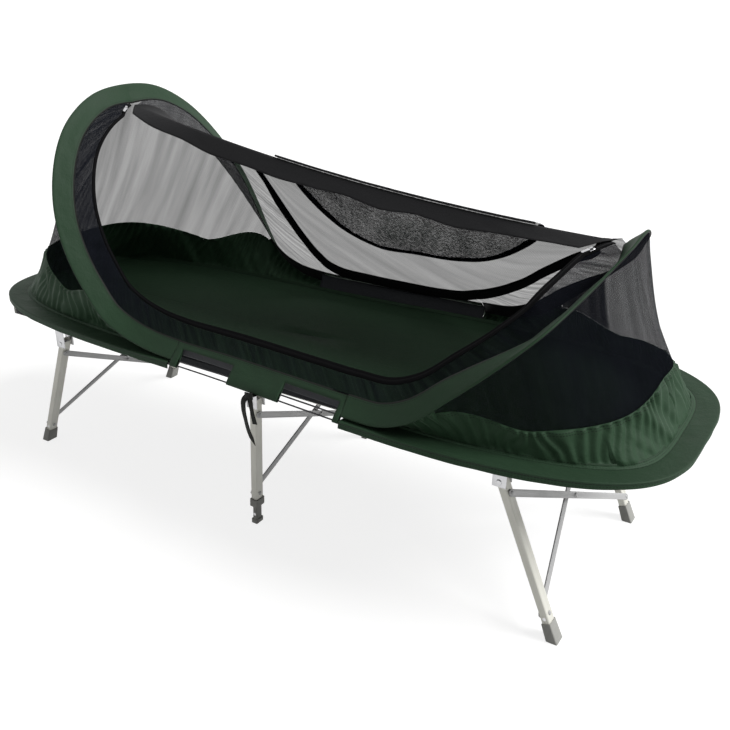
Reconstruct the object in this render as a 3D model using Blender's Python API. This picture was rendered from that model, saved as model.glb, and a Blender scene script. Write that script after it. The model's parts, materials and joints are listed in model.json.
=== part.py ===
"""Pop-up mosquito net tent on a folding camp bed, one object for each piece.

Metres, +Z up. +X runs to the foot end, -Y is the side with the open door.
The origin lies on the floor below the middle of the bed.
"""
import math

import bmesh
import bpy
import numpy as np
from mathutils import Matrix, Vector

# Bed
BED_LENGTH = 1.90
RAIL_SPACING = 0.58
RAIL_WIDTH = 0.022
RAIL_HEIGHT = 0.024
RAIL_BOTTOM = 0.443
RAIL_WALL = 0.0016
FABRIC_THICKNESS = 0.0016
HEM_RISE = 0.004
END_CAP_LENGTH = 0.014
END_PLUG_LENGTH = 0.016
END_BAR_WIDTH = 0.012
END_BAR_HEIGHT = 0.019

# Leg frames
LEG_WIDTH = 0.030
LEG_DEPTH = 0.020
LEG_WALL = 0.0016
LEG_CORNER = 0.002
PIN_HEIGHT = 0.390
PIN_RADIUS = 0.004
PIN_HEAD_RADIUS = 0.0075
PIN_HEAD_THICKNESS = 0.003
LEG_ABOVE_PIN = 0.009
END_HINGE_X = 0.735
END_SPLAY = math.radians(22.4)
MIDDLE_HINGE_X = 0.020
MIDDLE_SPLAY = math.radians(2.9)
SHOE_WIDTH = 0.038
SHOE_DEPTH = 0.027
SHOE_HEIGHT = 0.050
SHOE_SOLE = 0.012
SHOE_TAPER = 0.0015
SOLE_LIP = 0.003
SOLE_HEIGHT = 0.014
COLLAR_HEIGHT = 0.020
COLLAR_FLOOR = 0.004
EXTENSION_WIDTH = 0.024
EXTENSION_DEPTH = 0.0145
EXTENSION_SHOWING = 0.062
BRACE_WIDTH = 0.018
BRACE_THICKNESS = 0.0035
BRACE_END = 0.012
BRACE_TOP_DROP = 0.037
END_BRACE_RISE = 0.072
MIDDLE_BRACE_RISE = 0.100
RIVET_RADIUS = 0.003
RIVET_HEAD_RADIUS = 0.0060
RIVET_HEAD_HEIGHT = 0.0024
PIVOT_RADIUS = 0.004
BRACKET_WALL = 0.003
BRACKET_LENGTH = 0.034
BRACKET_DROP = 0.013
BRACKET_PLAY = 0.0004
LEG_PIN_PLAY = 0.0004

# Hoops of spring steel and their fabric sleeves
WIRE_RADIUS = 0.0021
BASE_HALF_LENGTH = 1.105
BASE_HALF_WIDTH = 0.378
BASE_POWER = 3.6
BASE_HEIGHT = 0.482
BASE_FOOT_LIFT = -0.012
BASE_FLARE = 0.045
BASE_FLARE_SPAN = (-0.25, 0.75)
CHANNEL_CLEARANCE = 0.0010
SLEEVE_SKIN = 0.0012
BASE_SLEEVE_WIDTH = 0.060
ARCH_SLEEVE_WIDTH = 0.055
SIDE_CHANNEL_CLEARANCE = 0.0024
SIDE_HEAD_X = -0.195
SIDE_FOOT_X = 0.366
WINDOW_DEPTH = 0.047
GUSSET_LAP = 0.010
GUSSET_DROP = 0.0027
WINDOWS = ((-0.170, 0.010), (0.180, 0.350))

# Outline of the arch hoop from the head apex along one side to the foot tip
ARCH_POINTS = (
    (-0.660, 0.000, 1.127), (-0.661, -0.124, 1.111), (-0.648, -0.233, 1.054),
    (-0.602, -0.345, 0.921), (-0.559, -0.388, 0.818), (-0.515, -0.401, 0.722),
    (-0.470, -0.397, 0.637), (-0.422, -0.390, 0.568), (-0.362, -0.379, 0.527),
    (-0.290, -0.3715, 0.5035), (-0.200, -0.3695, 0.4940), (0.000, -0.3760, 0.4940),
    (0.250, -0.3900, 0.4940), (0.370, -0.3958, 0.4940), (0.4742, -0.3992, 0.4992),
    (0.5446, -0.398, 0.5282), (0.639, -0.380, 0.605), (0.736, -0.352, 0.693),
    (0.798, -0.307, 0.754), (0.838, -0.222, 0.805), (0.872, -0.128, 0.857),
    (0.897, -0.066, 0.898), (0.9057, 0.000, 0.921),
)

# Netting, ridge and doors
HEAD_BAND_TILT = math.radians(24)
FOOT_BAND_TILT = math.radians(58)
RIDGE_SAG = 0.040
RULING_KNOTS = ((0.0, 0.0), (0.39, 0.25), (0.70, 0.73), (1.0, 1.0))
SEAM_GAP = 0.0005
NET_THICKNESS = 0.0010
CLOTH_THICKNESS = 0.0012
STRIP_THICKNESS = 0.0016
STRIP_HALF_WIDTH = 0.070
BORDER_HEAD = 0.075
BORDER_SIDE = 0.040
BORDER_FOOT = 0.062
ZIP_TAPE_WIDTH = 0.024
ZIP_THICKNESS = 0.0026
DOOR_LEAST_WIDTH = 0.022
WALL_LEAST_WIDTH = 0.012
END_NET_SAG = 0.045
TUB_FRACTION = 0.28
TUB_FOLD_DEPTH = 0.004
NET_LEAST_HEIGHT = 0.012
DOOR_HEM_RADIUS = 0.0035
DOOR_CLEARANCE = 0.0035
DOOR_OUTLINE = ((-0.108, 0.050), (-0.092, 0.170), (-0.030, 0.290), (0.060, 0.335),
                (0.200, 0.320), (0.350, 0.297), (0.490, 0.230), (0.590, 0.140), (0.650, 0.050))

# Zip sliders and tie straps
SLIDER_HEAD = 0.048
SLIDER_FOOT = 0.945
SLIDER_FAR = 0.895
SLIDER_GAP = 0.0005
SLIDER_LENGTH = 0.013
SLIDER_WIDTH = 0.009
SLIDER_BODY = 0.0022
SLIDER_HEIGHT = 0.0056
EAR_WALL = 0.0012
PULL_PIN_RADIUS = 0.0009
PULL_NECK = 0.0034
PULL_LENGTH = 0.026
PULL_WIDTH = 0.007
PULL_THICKNESS = 0.0014
STRAP_WIDTH = 0.022
STRAP_THICKNESS = 0.0014
STRAP_X = 0.098
KNOT_SIZE = 0.024
KNOT_OUT = 0.0150
TAIL_WIDTH = 0.015
STRAP_LONG_TAIL = 0.340
STRAP_SHORT_TAIL = 0.405

CLEARANCE = 0.0003

DECK_TOP = RAIL_BOTTOM + RAIL_HEIGHT + CLEARANCE + FABRIC_THICKNESS


def clear_scene():
    for old in list(bpy.data.objects):
        bpy.data.objects.remove(old, do_unlink=True)


def make_material(name, colour, roughness, metallic=0.0):
    material = bpy.data.materials.new(name)
    material.use_nodes = True
    shader = material.node_tree.nodes["Principled BSDF"]
    shader.inputs["Base Color"].default_value = (*colour, 1.0)
    shader.inputs["Roughness"].default_value = roughness
    shader.inputs["Metallic"].default_value = metallic
    return material


FINISHES = {
    "aluminium": ((0.62, 0.62, 0.60), 0.35, 0.9),
    "spring_steel": ((0.09, 0.09, 0.10), 0.40, 0.8),
    "bright_metal": ((0.72, 0.72, 0.74), 0.25, 1.0),
    "grey_plastic": ((0.45, 0.46, 0.45), 0.55, 0.0),
    "green_cloth": ((0.040, 0.095, 0.055), 0.75, 0.0),
    "dark_cloth": ((0.030, 0.033, 0.038), 0.80, 0.0),
    "net": ((0.045, 0.045, 0.050), 0.80, 0.0),
    "black_tape": ((0.010, 0.010, 0.012), 0.70, 0.0),
}


def add_object(name, mesh, finish, smooth=False):
    thing = bpy.data.objects.new(name, mesh)
    bpy.context.scene.collection.objects.link(thing)
    mesh.materials.append(make_material(name, *FINISHES[finish]))
    if smooth:
        mesh.shade_smooth()
        mesh.set_sharp_from_angle(angle=math.radians(35))
    return thing


def mesh_from_bmesh(name, shape):
    bmesh.ops.recalc_face_normals(shape, faces=shape.faces)
    mesh = bpy.data.meshes.new(name)
    shape.to_mesh(mesh)
    shape.free()
    return mesh


def unit(vector):
    return vector / np.linalg.norm(vector)


def mirrored(point):
    return np.array((point[0], -point[1], point[2]))


class Path:
    """A smooth curve through points, read by its share of the length."""

    def __init__(self, points, closed=False, steps=20):
        points = [np.array(p, dtype=float) for p in points]
        count = len(points)
        spans = count if closed else count - 1
        dense = []
        for i in range(spans):
            a, b = points[i], points[(i + 1) % count]
            before = points[i - 1] if closed or i > 0 else 2 * a - b
            after_index = i + 2
            inside = closed or after_index < count
            after = points[after_index % count] if inside else 2 * b - a
            chords = [np.linalg.norm(q - p) for p, q in ((before, a), (a, b), (b, after))]
            start = self.slope(before, a, b, chords[0], chords[1])
            end = self.slope(a, b, after, chords[1], chords[2])
            for s in np.linspace(0.0, 1.0, steps, endpoint=False):
                dense.append(self.hermite(a, b, start * chords[1], end * chords[1], s))
        dense.append(points[0] if closed else points[-1])
        self.points = np.array(dense)
        lengths = np.linalg.norm(np.diff(self.points, axis=0), axis=1)
        self.marks = np.concatenate(([0.0], np.cumsum(lengths)))
        self.length = self.marks[-1]

    @staticmethod
    def slope(before, here, after, chord_in, chord_out):
        arriving = (here - before) / chord_in
        leaving = (after - here) / chord_out
        return (arriving * chord_out + leaving * chord_in) / (chord_in + chord_out)

    @staticmethod
    def hermite(a, b, slope_a, slope_b, s):
        s2, s3 = s * s, s * s * s
        return ((2 * s3 - 3 * s2 + 1) * a + (s3 - 2 * s2 + s) * slope_a
                + (3 * s2 - 2 * s3) * b + (s3 - s2) * slope_b)

    def at(self, share):
        place = share * self.length
        return np.array([np.interp(place, self.marks, self.points[:, k]) for k in range(3)])

    def tangent(self, share, step=0.004):
        return unit(self.at(min(1.0, share + step)) - self.at(max(0.0, share - step)))

    def share_at_x(self, x):
        return float(np.interp(x, self.points[:, 0], self.marks)) / self.length


def add_loft(shape, rings, inner=None, closed=False):
    """Skin matching rings of points; inner rings make a channel through the piece."""

    def skin(loops):
        rows = [[shape.verts.new(point) for point in loop] for loop in loops]
        count = len(rows[0])
        pairs = list(zip(rows, rows[1:]))
        if closed:
            pairs.append((rows[-1], rows[0]))
        for first, second in pairs:
            for i in range(count):
                j = (i + 1) % count
                shape.faces.new((first[i], first[j], second[j], second[i]))
        return rows

    outer_rows = skin(rings)
    if inner is not None:
        inner_rows = skin(inner)
        for row, hole in ((outer_rows[0], inner_rows[0]), (outer_rows[-1], inner_rows[-1])):
            for i in range(len(row)):
                j = (i + 1) % len(row)
                shape.faces.new((row[i], row[j], hole[j], hole[i]))
    elif not closed:
        shape.faces.new(outer_rows[0])
        shape.faces.new(outer_rows[-1])


def loft(name, rings, finish, inner=None, closed=False, smooth=True):
    shape = bmesh.new()
    add_loft(shape, rings, inner, closed)
    return add_object(name, mesh_from_bmesh(name, shape), finish, smooth)


def sheet(name, grid, thickness, finish):
    """A thin closed cloth from a grid of points."""
    shape = bmesh.new()
    rows = [[shape.verts.new(point) for point in row] for row in grid]
    for first, second in zip(rows, rows[1:]):
        for i in range(len(first) - 1):
            shape.faces.new((first[i], first[i + 1], second[i + 1], second[i]))
    thing = add_object(name, mesh_from_bmesh(name, shape), finish, smooth=True)
    wall = thing.modifiers.new("Thickness", "SOLIDIFY")
    wall.thickness = thickness
    wall.offset = 0.0
    return thing


def drop_object(thing):
    mesh = thing.data
    bpy.data.objects.remove(thing, do_unlink=True)
    bpy.data.meshes.remove(mesh)


def combine(base, tool, operation):
    """Apply an exact Boolean and remove the tool."""
    step = base.modifiers.new("Step", "BOOLEAN")
    step.operation = operation
    step.object = tool
    step.solver = "EXACT"
    bpy.context.view_layer.update()
    evaluated = base.evaluated_get(bpy.context.evaluated_depsgraph_get())
    result = bpy.data.meshes.new_from_object(evaluated)
    base.modifiers.remove(step)
    base.data = result
    drop_object(tool)


def block(name, size, centre, finish, bevel=0.0, turn=None):
    shape = bmesh.new()
    bmesh.ops.create_cube(shape, size=1.0)
    bmesh.ops.scale(shape, vec=size, verts=shape.verts)
    if bevel:
        bmesh.ops.bevel(shape, geom=shape.edges, offset=bevel, segments=1, affect="EDGES")
    if turn is not None:
        bmesh.ops.rotate(shape, cent=(0, 0, 0), matrix=turn, verts=shape.verts)
    bmesh.ops.translate(shape, vec=centre, verts=shape.verts)
    return add_object(name, mesh_from_bmesh(name, shape), finish)


def add_rod(shape, start, end, radius, sides=12):
    """Add a closed rod to a mesh being built."""
    start, end = Vector(start), Vector(end)
    turn = Vector((0, 0, 1)).rotation_difference(end - start).to_matrix().to_4x4()
    place = Matrix.Translation((start + end) / 2) @ turn
    bmesh.ops.create_cone(shape, cap_ends=True, segments=sides, radius1=radius, radius2=radius,
                          depth=(end - start).length, matrix=place)


def add_turned(shape, start, direction, profile, sides=8):
    """Add a solid of revolution; profile lists distance along and radius."""
    start, direction = Vector(start), Vector(direction).normalized()
    turn = Vector((0, 0, 1)).rotation_difference(direction).to_matrix()
    rows = []
    for along, radius in profile:
        row = []
        for i in range(sides):
            angle = 2 * math.pi * i / sides
            local = Vector((radius * math.cos(angle), radius * math.sin(angle), along))
            row.append(shape.verts.new(start + turn @ local))
        rows.append(row)
    for first, second in zip(rows, rows[1:]):
        for i in range(sides):
            j = (i + 1) % sides
            shape.faces.new((first[i], first[j], second[j], second[i]))
    shape.faces.new(rows[0])
    shape.faces.new(rows[-1])


def drill(base, rods, sides=8):
    """Cut round holes; rods lists start, end and radius."""
    shape = bmesh.new()
    for start, end, radius in rods:
        add_rod(shape, start, end, radius, sides)
    combine(base, add_object("cutter", mesh_from_bmesh("cutter", shape), "aluminium"), "DIFFERENCE")


def rectangle(width, depth, chamfer):
    """Corner points of a rectangle with cut corners, in its own two directions."""
    a, b = width / 2, depth / 2
    return [(a, b - chamfer), (a - chamfer, b), (chamfer - a, b), (-a, b - chamfer),
            (-a, chamfer - b), (chamfer - a, -b), (a - chamfer, -b), (a, chamfer - b)]


def tube(name, start, end, width, depth, wall, finish):
    """A straight rectangular tube open at both ends; width lies along Y."""
    start, end = np.array(start, dtype=float), np.array(end, dtype=float)
    along = unit(end - start)
    side = np.array((0.0, 1.0, 0.0))
    if abs(along[1]) > 0.9:
        side = np.array((1.0, 0.0, 0.0))
    up = np.cross(along, side)
    outer = rectangle(width, depth, LEG_CORNER)
    inner = rectangle(width - 2 * wall, depth - 2 * wall, LEG_CORNER / 2)
    rings, holes = [], []
    for end_point in (start, end):
        rings.append([end_point + a * side + b * up for a, b in outer])
        holes.append([end_point + a * side + b * up for a, b in inner])
    return loft(name, rings, finish, inner=holes, smooth=False)


# Outline of the base hoop

def base_half_width(x):
    """The hoop spreads towards the foot."""
    start, end = BASE_FLARE_SPAN
    s = min(1.0, max(0.0, (x - start) / (end - start)))
    return BASE_HALF_WIDTH + BASE_FLARE * s * s * (3 - 2 * s)


def base_point(angle, inset=0.0):
    c, s = math.cos(angle), math.sin(angle)
    share = 2.0 / BASE_POWER
    x = BASE_HALF_LENGTH * math.copysign(abs(c) ** share, c)
    width = base_half_width(x)
    y = width * math.copysign(abs(s) ** share, s)
    reach = max(0.0, x / BASE_HALF_LENGTH)
    point = np.array((x, y, BASE_HEIGHT + BASE_FOOT_LIFT * reach ** 3))
    if inset:
        gradient = np.array((
            math.copysign(abs(x / BASE_HALF_LENGTH) ** (BASE_POWER - 1), x) / BASE_HALF_LENGTH,
            math.copysign(abs(y / width) ** (BASE_POWER - 1), y) / width, 0.0))
        point = point - inset * unit(gradient)
    return point


def base_quarter(end_x, inset=0.0):
    """Near side of the base outline, from the side at end_x round to that end's tip."""
    first, last = (1.5 * math.pi, 2.0 * math.pi) if end_x > 0 else (1.5 * math.pi, math.pi)
    angles = first + (last - first) * np.linspace(0.0, 1.0, 400)
    points = np.array([base_point(a, inset) for a in angles])
    keep = points[np.abs(points[:, 0]) >= abs(end_x)]
    return Path(keep, steps=1)


# Surface of the tent between the arch hoop and the ridge

def arch_path():
    near = list(ARCH_POINTS)
    far = [mirrored(p) for p in reversed(ARCH_POINTS[1:-1])]
    whole = Path(near + far, closed=True)
    half = Path(near, steps=2)
    count = 20 * (len(near) - 1) + 1
    half.points = whole.points[:count]
    half.marks = whole.marks[:count]
    half.length = half.marks[-1]
    return half


ARCH = arch_path()


def ridge_end(point, tilt, side):
    """The ridge starts at the sleeve's inner edge on the centre line."""
    reach = ARCH_SLEEVE_WIDTH + SEAM_GAP
    return np.array(point) + reach * np.array((side * math.sin(tilt), 0.0, -math.cos(tilt)))


RIDGE_HEAD = ridge_end(ARCH_POINTS[0], HEAD_BAND_TILT, 1)
RIDGE_FOOT = ridge_end(ARCH_POINTS[-1], FOOT_BAND_TILT, -1)


def ridge_point(share):
    point = RIDGE_HEAD + share * (RIDGE_FOOT - RIDGE_HEAD)
    point[2] -= 4 * RIDGE_SAG * share * (1 - share)
    return point


RULING_PATH = Path([(t, share, 0.0) for t, share in RULING_KNOTS])


def ridge_share(t):
    return float(np.interp(t, RULING_PATH.points[:, 0], RULING_PATH.points[:, 1]))


class Ruling:
    """One line of the side wall, from the arch hoop in to the ridge."""

    def __init__(self, t):
        self.hoop = ARCH.at(t)
        self.along = ARCH.tangent(t) if 0.0 < t < 1.0 else np.array((0.0, -1.0 + 2.0 * t, 0.0))
        self.ridge = ridge_point(ridge_share(t))
        inward = self.ridge - self.hoop
        self.band = unit(inward - inward.dot(self.along) * self.along)
        self.normal = np.cross(self.along, self.band)
        self.seam = self.hoop + (ARCH_SLEEVE_WIDTH + SEAM_GAP) * self.band
        self.reach = np.linalg.norm(self.ridge - self.seam)
        self.inward = (self.ridge - self.seam) / max(self.reach, 1e-9)
        half_tape = ZIP_TAPE_WIDTH / 2 + SEAM_GAP
        self.strip = min(STRIP_HALF_WIDTH, (self.reach - 2 * half_tape) / 2)
        border = smooth_knots(t, ((0.0, BORDER_HEAD), (0.26, BORDER_HEAD), (0.44, BORDER_SIDE),
                                  (0.62, BORDER_SIDE), (0.78, BORDER_FOOT), (1.0, BORDER_FOOT)))
        self.zip = min(border + half_tape, self.reach - self.strip - half_tape)

    def point(self, distance):
        return self.seam + distance * self.inward


def smooth_knots(t, knots):
    for (t0, v0), (t1, v1) in zip(knots, knots[1:]):
        if t <= t1:
            s = (t - t0) / (t1 - t0)
            return v0 + (v1 - v0) * s * s * (3 - 2 * s)
    return knots[-1][1]


class Station:
    """A place along the near side: its ruling and the base hoop below it."""

    def __init__(self, t, base, inner):
        self.line = Ruling(t)
        self.base = base
        self.inner = inner


def end_stations(count, junction_x, tip_t):
    """From an end's apex down to where the sleeves meet at the side."""
    junction = ARCH.share_at_x(junction_x)
    wire = base_quarter(junction_x)
    seam = base_quarter(junction_x, BASE_SLEEVE_WIDTH)
    stations = []
    for share in np.linspace(0.0, 1.0, count + 1):
        t = tip_t + share * (junction - tip_t)
        stations.append(Station(t, wire.at(1.0 - share), seam.at(1.0 - share)))
    return stations


def side_stations(count):
    stations = []
    for x in np.linspace(SIDE_HEAD_X, SIDE_FOOT_X, count + 1):
        share = (1.0 - abs(x / BASE_HALF_LENGTH) ** BASE_POWER) ** (1.0 / BASE_POWER)
        lift = BASE_FOOT_LIFT * max(0.0, x / BASE_HALF_LENGTH) ** 3
        wire = np.array((x, -base_half_width(x) * share, BASE_HEIGHT + lift))
        inner = wire + np.array((0.0, BASE_SLEEVE_WIDTH, 0.0))
        stations.append(Station(ARCH.share_at_x(x), wire, inner))
    return stations


HEAD = end_stations(18, SIDE_HEAD_X, 0.0)
SIDE = side_stations(6)
FOOT = end_stations(14, SIDE_FOOT_X, 1.0)
NEAR_SIDE = HEAD[:-1] + SIDE + FOOT[-2::-1]


def both_sides(near_rings):
    """Rings from a near junction over the centre line to the far junction."""
    far = [[mirrored(p) for p in ring] for ring in near_rings[1:]]
    return near_rings[::-1] + far


# Hoops and sleeves

def ring_round(point, across, up, radius, sides=6):
    turns = [2 * math.pi * (i + 0.5) / sides for i in range(sides)]
    return [point + radius * (math.cos(a) * across + math.sin(a) * up) for a in turns]


def sleeve_section(point, band, normal, width, bore, channel=0.0):
    """A flat band with a channel for the wire along its outer edge."""
    wall = bore + SLEEVE_SKIN
    flat = CLOTH_THICKNESS * 0.75
    neck = channel + 1.3 * wall
    outer = [(width, flat), (neck, 0.75 * wall), (-0.95 * wall, 0.85 * wall),
             (-0.95 * wall, -0.85 * wall), (neck, -0.75 * wall), (width, -flat)]
    top = channel + 0.9 * bore
    inner = [(top, 0.35 * bore), (channel + 0.35 * bore, 0.9 * bore), (-0.9 * bore, 0.7 * bore),
             (-0.9 * bore, -0.7 * bore), (channel + 0.35 * bore, -0.9 * bore), (top, -0.35 * bore)]
    return ([point + a * band + b * normal for a, b in outer],
            [point + a * band + b * normal for a, b in inner])


def build_wires():
    wire_rings = []
    for station in NEAR_SIDE:
        wire_rings.append(station.base)
    near = []
    count = len(wire_rings)
    for i, point in enumerate(wire_rings):
        if i == 0 or i == count - 1:
            along = np.array((0.0, -1.0 if i == 0 else 1.0, 0.0))
        else:
            along = unit(wire_rings[i + 1] - wire_rings[i - 1])
        across = unit(np.cross(along, (0, 0, 1)))
        near.append(ring_round(point, across, np.cross(across, along), WIRE_RADIUS))
    far = [[mirrored(p) for p in ring] for ring in near[-2:0:-1]]
    loft("base_hoop", near + far, "spring_steel", closed=True)

    lines = [station.line for station in NEAR_SIDE]
    near = [ring_round(line.hoop, line.band, line.normal, WIRE_RADIUS) for line in lines]
    far = [[mirrored(p) for p in ring] for ring in near[-2:0:-1]]
    loft("arch_hoop", near + far, "spring_steel", closed=True)


def build_end_sleeves():
    bore = WIRE_RADIUS + CHANNEL_CLEARANCE
    for end, stations in (("head", HEAD), ("foot", FOOT)):
        rings, holes = [], []
        for station in stations:
            line = station.line
            ring, hole = sleeve_section(line.hoop, line.band, line.normal, ARCH_SLEEVE_WIDTH, bore)
            rings.append(ring)
            holes.append(hole)
        loft("arch_sleeve_" + end, both_sides(rings), "green_cloth", inner=both_sides(holes))
        rings, holes = [], []
        for station in stations:
            band = unit(station.inner - station.base)
            along = np.cross(band, (0, 0, 1))
            normal = unit(np.cross(along, band))
            ring, hole = sleeve_section(station.base, band, normal, BASE_SLEEVE_WIDTH, bore)
            rings.append(ring)
            holes.append(hole)
        loft("base_sleeve_" + end, both_sides(rings), "green_cloth", inner=both_sides(holes))


def side_band(station):
    top = station.line.hoop + ARCH_SLEEVE_WIDTH * station.line.band
    return unit(top - station.base), np.linalg.norm(top - station.base)


def build_side_sleeves():
    bore = WIRE_RADIUS + SIDE_CHANNEL_CLEARANCE
    stations = side_stations(6)
    for station, shift in ((stations[0], SEAM_GAP), (stations[-1], -SEAM_GAP)):
        step = np.array((shift, 0.0, 0.0))
        station.base = station.base + step
        station.line.hoop = station.line.hoop + step
    rings, holes = [], []
    for station in stations:
        band, width = side_band(station)
        normal = np.array((0.0, -band[2], band[1]))
        spread = np.linalg.norm(station.line.hoop - station.base)
        ring, hole = sleeve_section(station.base, band, normal, width, bore, spread)
        rings.append(ring)
        holes.append(hole)
    for side, flip in (("near", False), ("far", True)):
        use = [[mirrored(p) for p in ring] for ring in rings] if flip else rings
        use_holes = [[mirrored(p) for p in ring] for ring in holes] if flip else holes
        sleeve = loft("side_sleeve_" + side, use, "green_cloth", inner=use_holes)
        for low_x, high_x in WINDOWS:
            station = stations[3]
            band, _ = side_band(station)
            tilt = math.atan2(band[2], band[1])
            middle = station.base + band * (WINDOW_DEPTH - 0.06 / 2)
            if flip:
                tilt, middle = math.pi - tilt, mirrored(middle)
            centre = ((low_x + high_x) / 2, middle[1], middle[2])
            cutter = block("cutter", (high_x - low_x, 0.06, 0.03), centre, "green_cloth",
                           turn=Matrix.Rotation(tilt, 3, "X"))
            combine(sleeve, cutter, "DIFFERENCE")


# Floor, end walls and side walls

def build_floor():
    rim = [station.inner for station in NEAR_SIDE]
    rim = rim + [mirrored(p) for p in rim[-2:0:-1]]
    low = DECK_TOP + CLEARANCE + CLOTH_THICKNESS / 2
    shape = bmesh.new()
    layers = []
    for shift in (CLOTH_THICKNESS / 2, -CLOTH_THICKNESS / 2):
        rows = []
        for share, height in ((1.0, 1.0), (0.86, 0.0)):
            row = []
            for point in rim:
                trimmed = point * np.array((1.0, 1.0, 0.0))
                trimmed = trimmed - SEAM_GAP * unit(trimmed)
                z = low + height * (point[2] - low)
                row.append(shape.verts.new((*(share * trimmed[:2]), z + shift)))
            rows.append(row)
        for first, second in zip(rows, rows[1:]):
            for i in range(len(rim)):
                j = (i + 1) % len(rim)
                shape.faces.new((first[i], first[j], second[j], second[i]))
        shape.faces.new(rows[-1])
        layers.append(rows[0])
    for i in range(len(rim)):
        j = (i + 1) % len(rim)
        shape.faces.new((layers[0][i], layers[0][j], layers[1][j], layers[1][i]))
    add_object("tent_floor", mesh_from_bmesh("tent_floor", shape), "dark_cloth", smooth=True)


def tub_share(share):
    """How much of an end wall is solid cloth, from its tip (0) to the side (1)."""
    return smooth_knots(share, ((0.0, TUB_FRACTION), (0.48, TUB_FRACTION), (0.80, 1.0), (1.0, 1.0)))


class EndWall:
    """Wall between one end of the arch hoop and the base sleeve below it."""

    def __init__(self, stations, end_sign):
        self.stations = stations
        self.end_sign = end_sign

    def line(self, share):
        place = share * (len(self.stations) - 1)
        index = min(int(place), len(self.stations) - 2)
        part = place - index
        first, second = self.stations[index], self.stations[index + 1]
        mix = lambda a, b: a + part * (b - a)
        hoop = mix(first.line.hoop, second.line.hoop)
        foot = mix(first.inner, second.inner)
        along = unit(mix(first.line.along, second.line.along))
        foot = foot + np.array((0.0, 0.0, CLOTH_THICKNESS * 1.35 + SEAM_GAP))
        normal = unit(mix(first.line.normal, second.line.normal))
        wall = WIRE_RADIUS + CHANNEL_CLEARANCE + SLEEVE_SKIN
        seam = 0.85 * wall + SEAM_GAP + CLOTH_THICKNESS / 2 + CLEARANCE / 2
        down = unit(foot - hoop)
        outward = unit(np.cross(along, down))
        if outward[0] * self.end_sign < 0:
            outward = -outward
        return hoop + math.copysign(seam, down.dot(normal)) * normal, foot, outward

    def point(self, share, depth):
        top, foot, outward = self.line(share)
        sag = 4 * END_NET_SAG * np.linalg.norm(foot - top) * depth * (1 - depth)
        return top + depth * (foot - top) - sag * outward


def add_folds(columns, wall):
    """Gathers between the seams; the seams themselves run straight."""
    count = len(columns) - 1
    folded = []
    for i in range(2 * count + 1):
        first, second = columns[i // 2], columns[min(i // 2 + i % 2, count)]
        outward = wall.line(i / (2 * count))[2]
        column = []
        for row, (a, b) in enumerate(zip(first, second)):
            middle = (a + b) / 2
            length = np.linalg.norm(first[-1] - first[0])
            fade = math.sin(math.pi * row / (len(first) - 1)) * min(1.0, length / 0.12)
            fold = TUB_FOLD_DEPTH * math.cos(math.pi * i) * fade
            column.append(middle + fold * outward)
        folded.append(column)
    return folded


def mirror_columns(columns):
    """Columns from the near side over the centre line to the far side."""
    return columns[::-1] + [[mirrored(p) for p in column] for column in columns[1:]]


def build_end_walls():
    for end, stations, sign in (("head", HEAD, -1), ("foot", FOOT, 1)):
        wall = EndWall(stations, sign)
        count = len(stations) - 1
        net, tub = [], []
        for i in range(count + 1):
            share = i / count
            top, foot, _ = wall.line(share)
            split = (1.0 - tub_share(share))
            if split * np.linalg.norm(foot - top) > NET_LEAST_HEIGHT:
                rows = np.linspace(0.0, split, 5)
                net.append([wall.point(share, row) for row in rows])
        for i in range(count + 1):
            share = i / count
            top, foot, _ = wall.line(share)
            length = np.linalg.norm(foot - top)
            split = 1.0 - tub_share(share)
            split = split + SEAM_GAP / length if split * length > NET_LEAST_HEIGHT else 0.0
            rows = np.linspace(split, 1.0, 3)
            tub.append([wall.point(share, row) for row in rows])
        tub = add_folds(tub, wall)
        sheet(end + "_net", mirror_columns(net), NET_THICKNESS, "net")
        sheet(end + "_tub", mirror_columns(tub), CLOTH_THICKNESS, "green_cloth")


def build_gussets():
    """Low inner walls that close the tent behind the windows."""
    for side in ("near", "far"):
        columns = []
        for station in side_stations(6):
            band, _ = side_band(station)
            normal = np.array((0.0, -band[2], band[1]))
            top = station.base + (WINDOW_DEPTH + GUSSET_LAP) * band - GUSSET_DROP * normal
            foot = station.inner + np.array((0.0, -0.004, CLOTH_THICKNESS + SEAM_GAP))
            column = [top + share * (foot - top) for share in (0.0, 0.5, 1.0)]
            if side == "far":
                column = [mirrored(p) for p in column]
            columns.append(column)
        columns[0] = [p + np.array((0.002, 0, 0)) for p in columns[0]]
        columns[-1] = [p - np.array((0.002, 0, 0)) for p in columns[-1]]
        sheet("side_gusset_" + side, columns, NET_THICKNESS, "dark_cloth")


def strip_edge(line):
    return line.reach - line.strip


def wide_enough(line):
    return line.reach > 2 * ZIP_TAPE_WIDTH + WALL_LEAST_WIDTH


def door_gap(line):
    return strip_edge(line) - line.zip - ZIP_TAPE_WIDTH / 2 - 2 * SEAM_GAP


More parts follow.
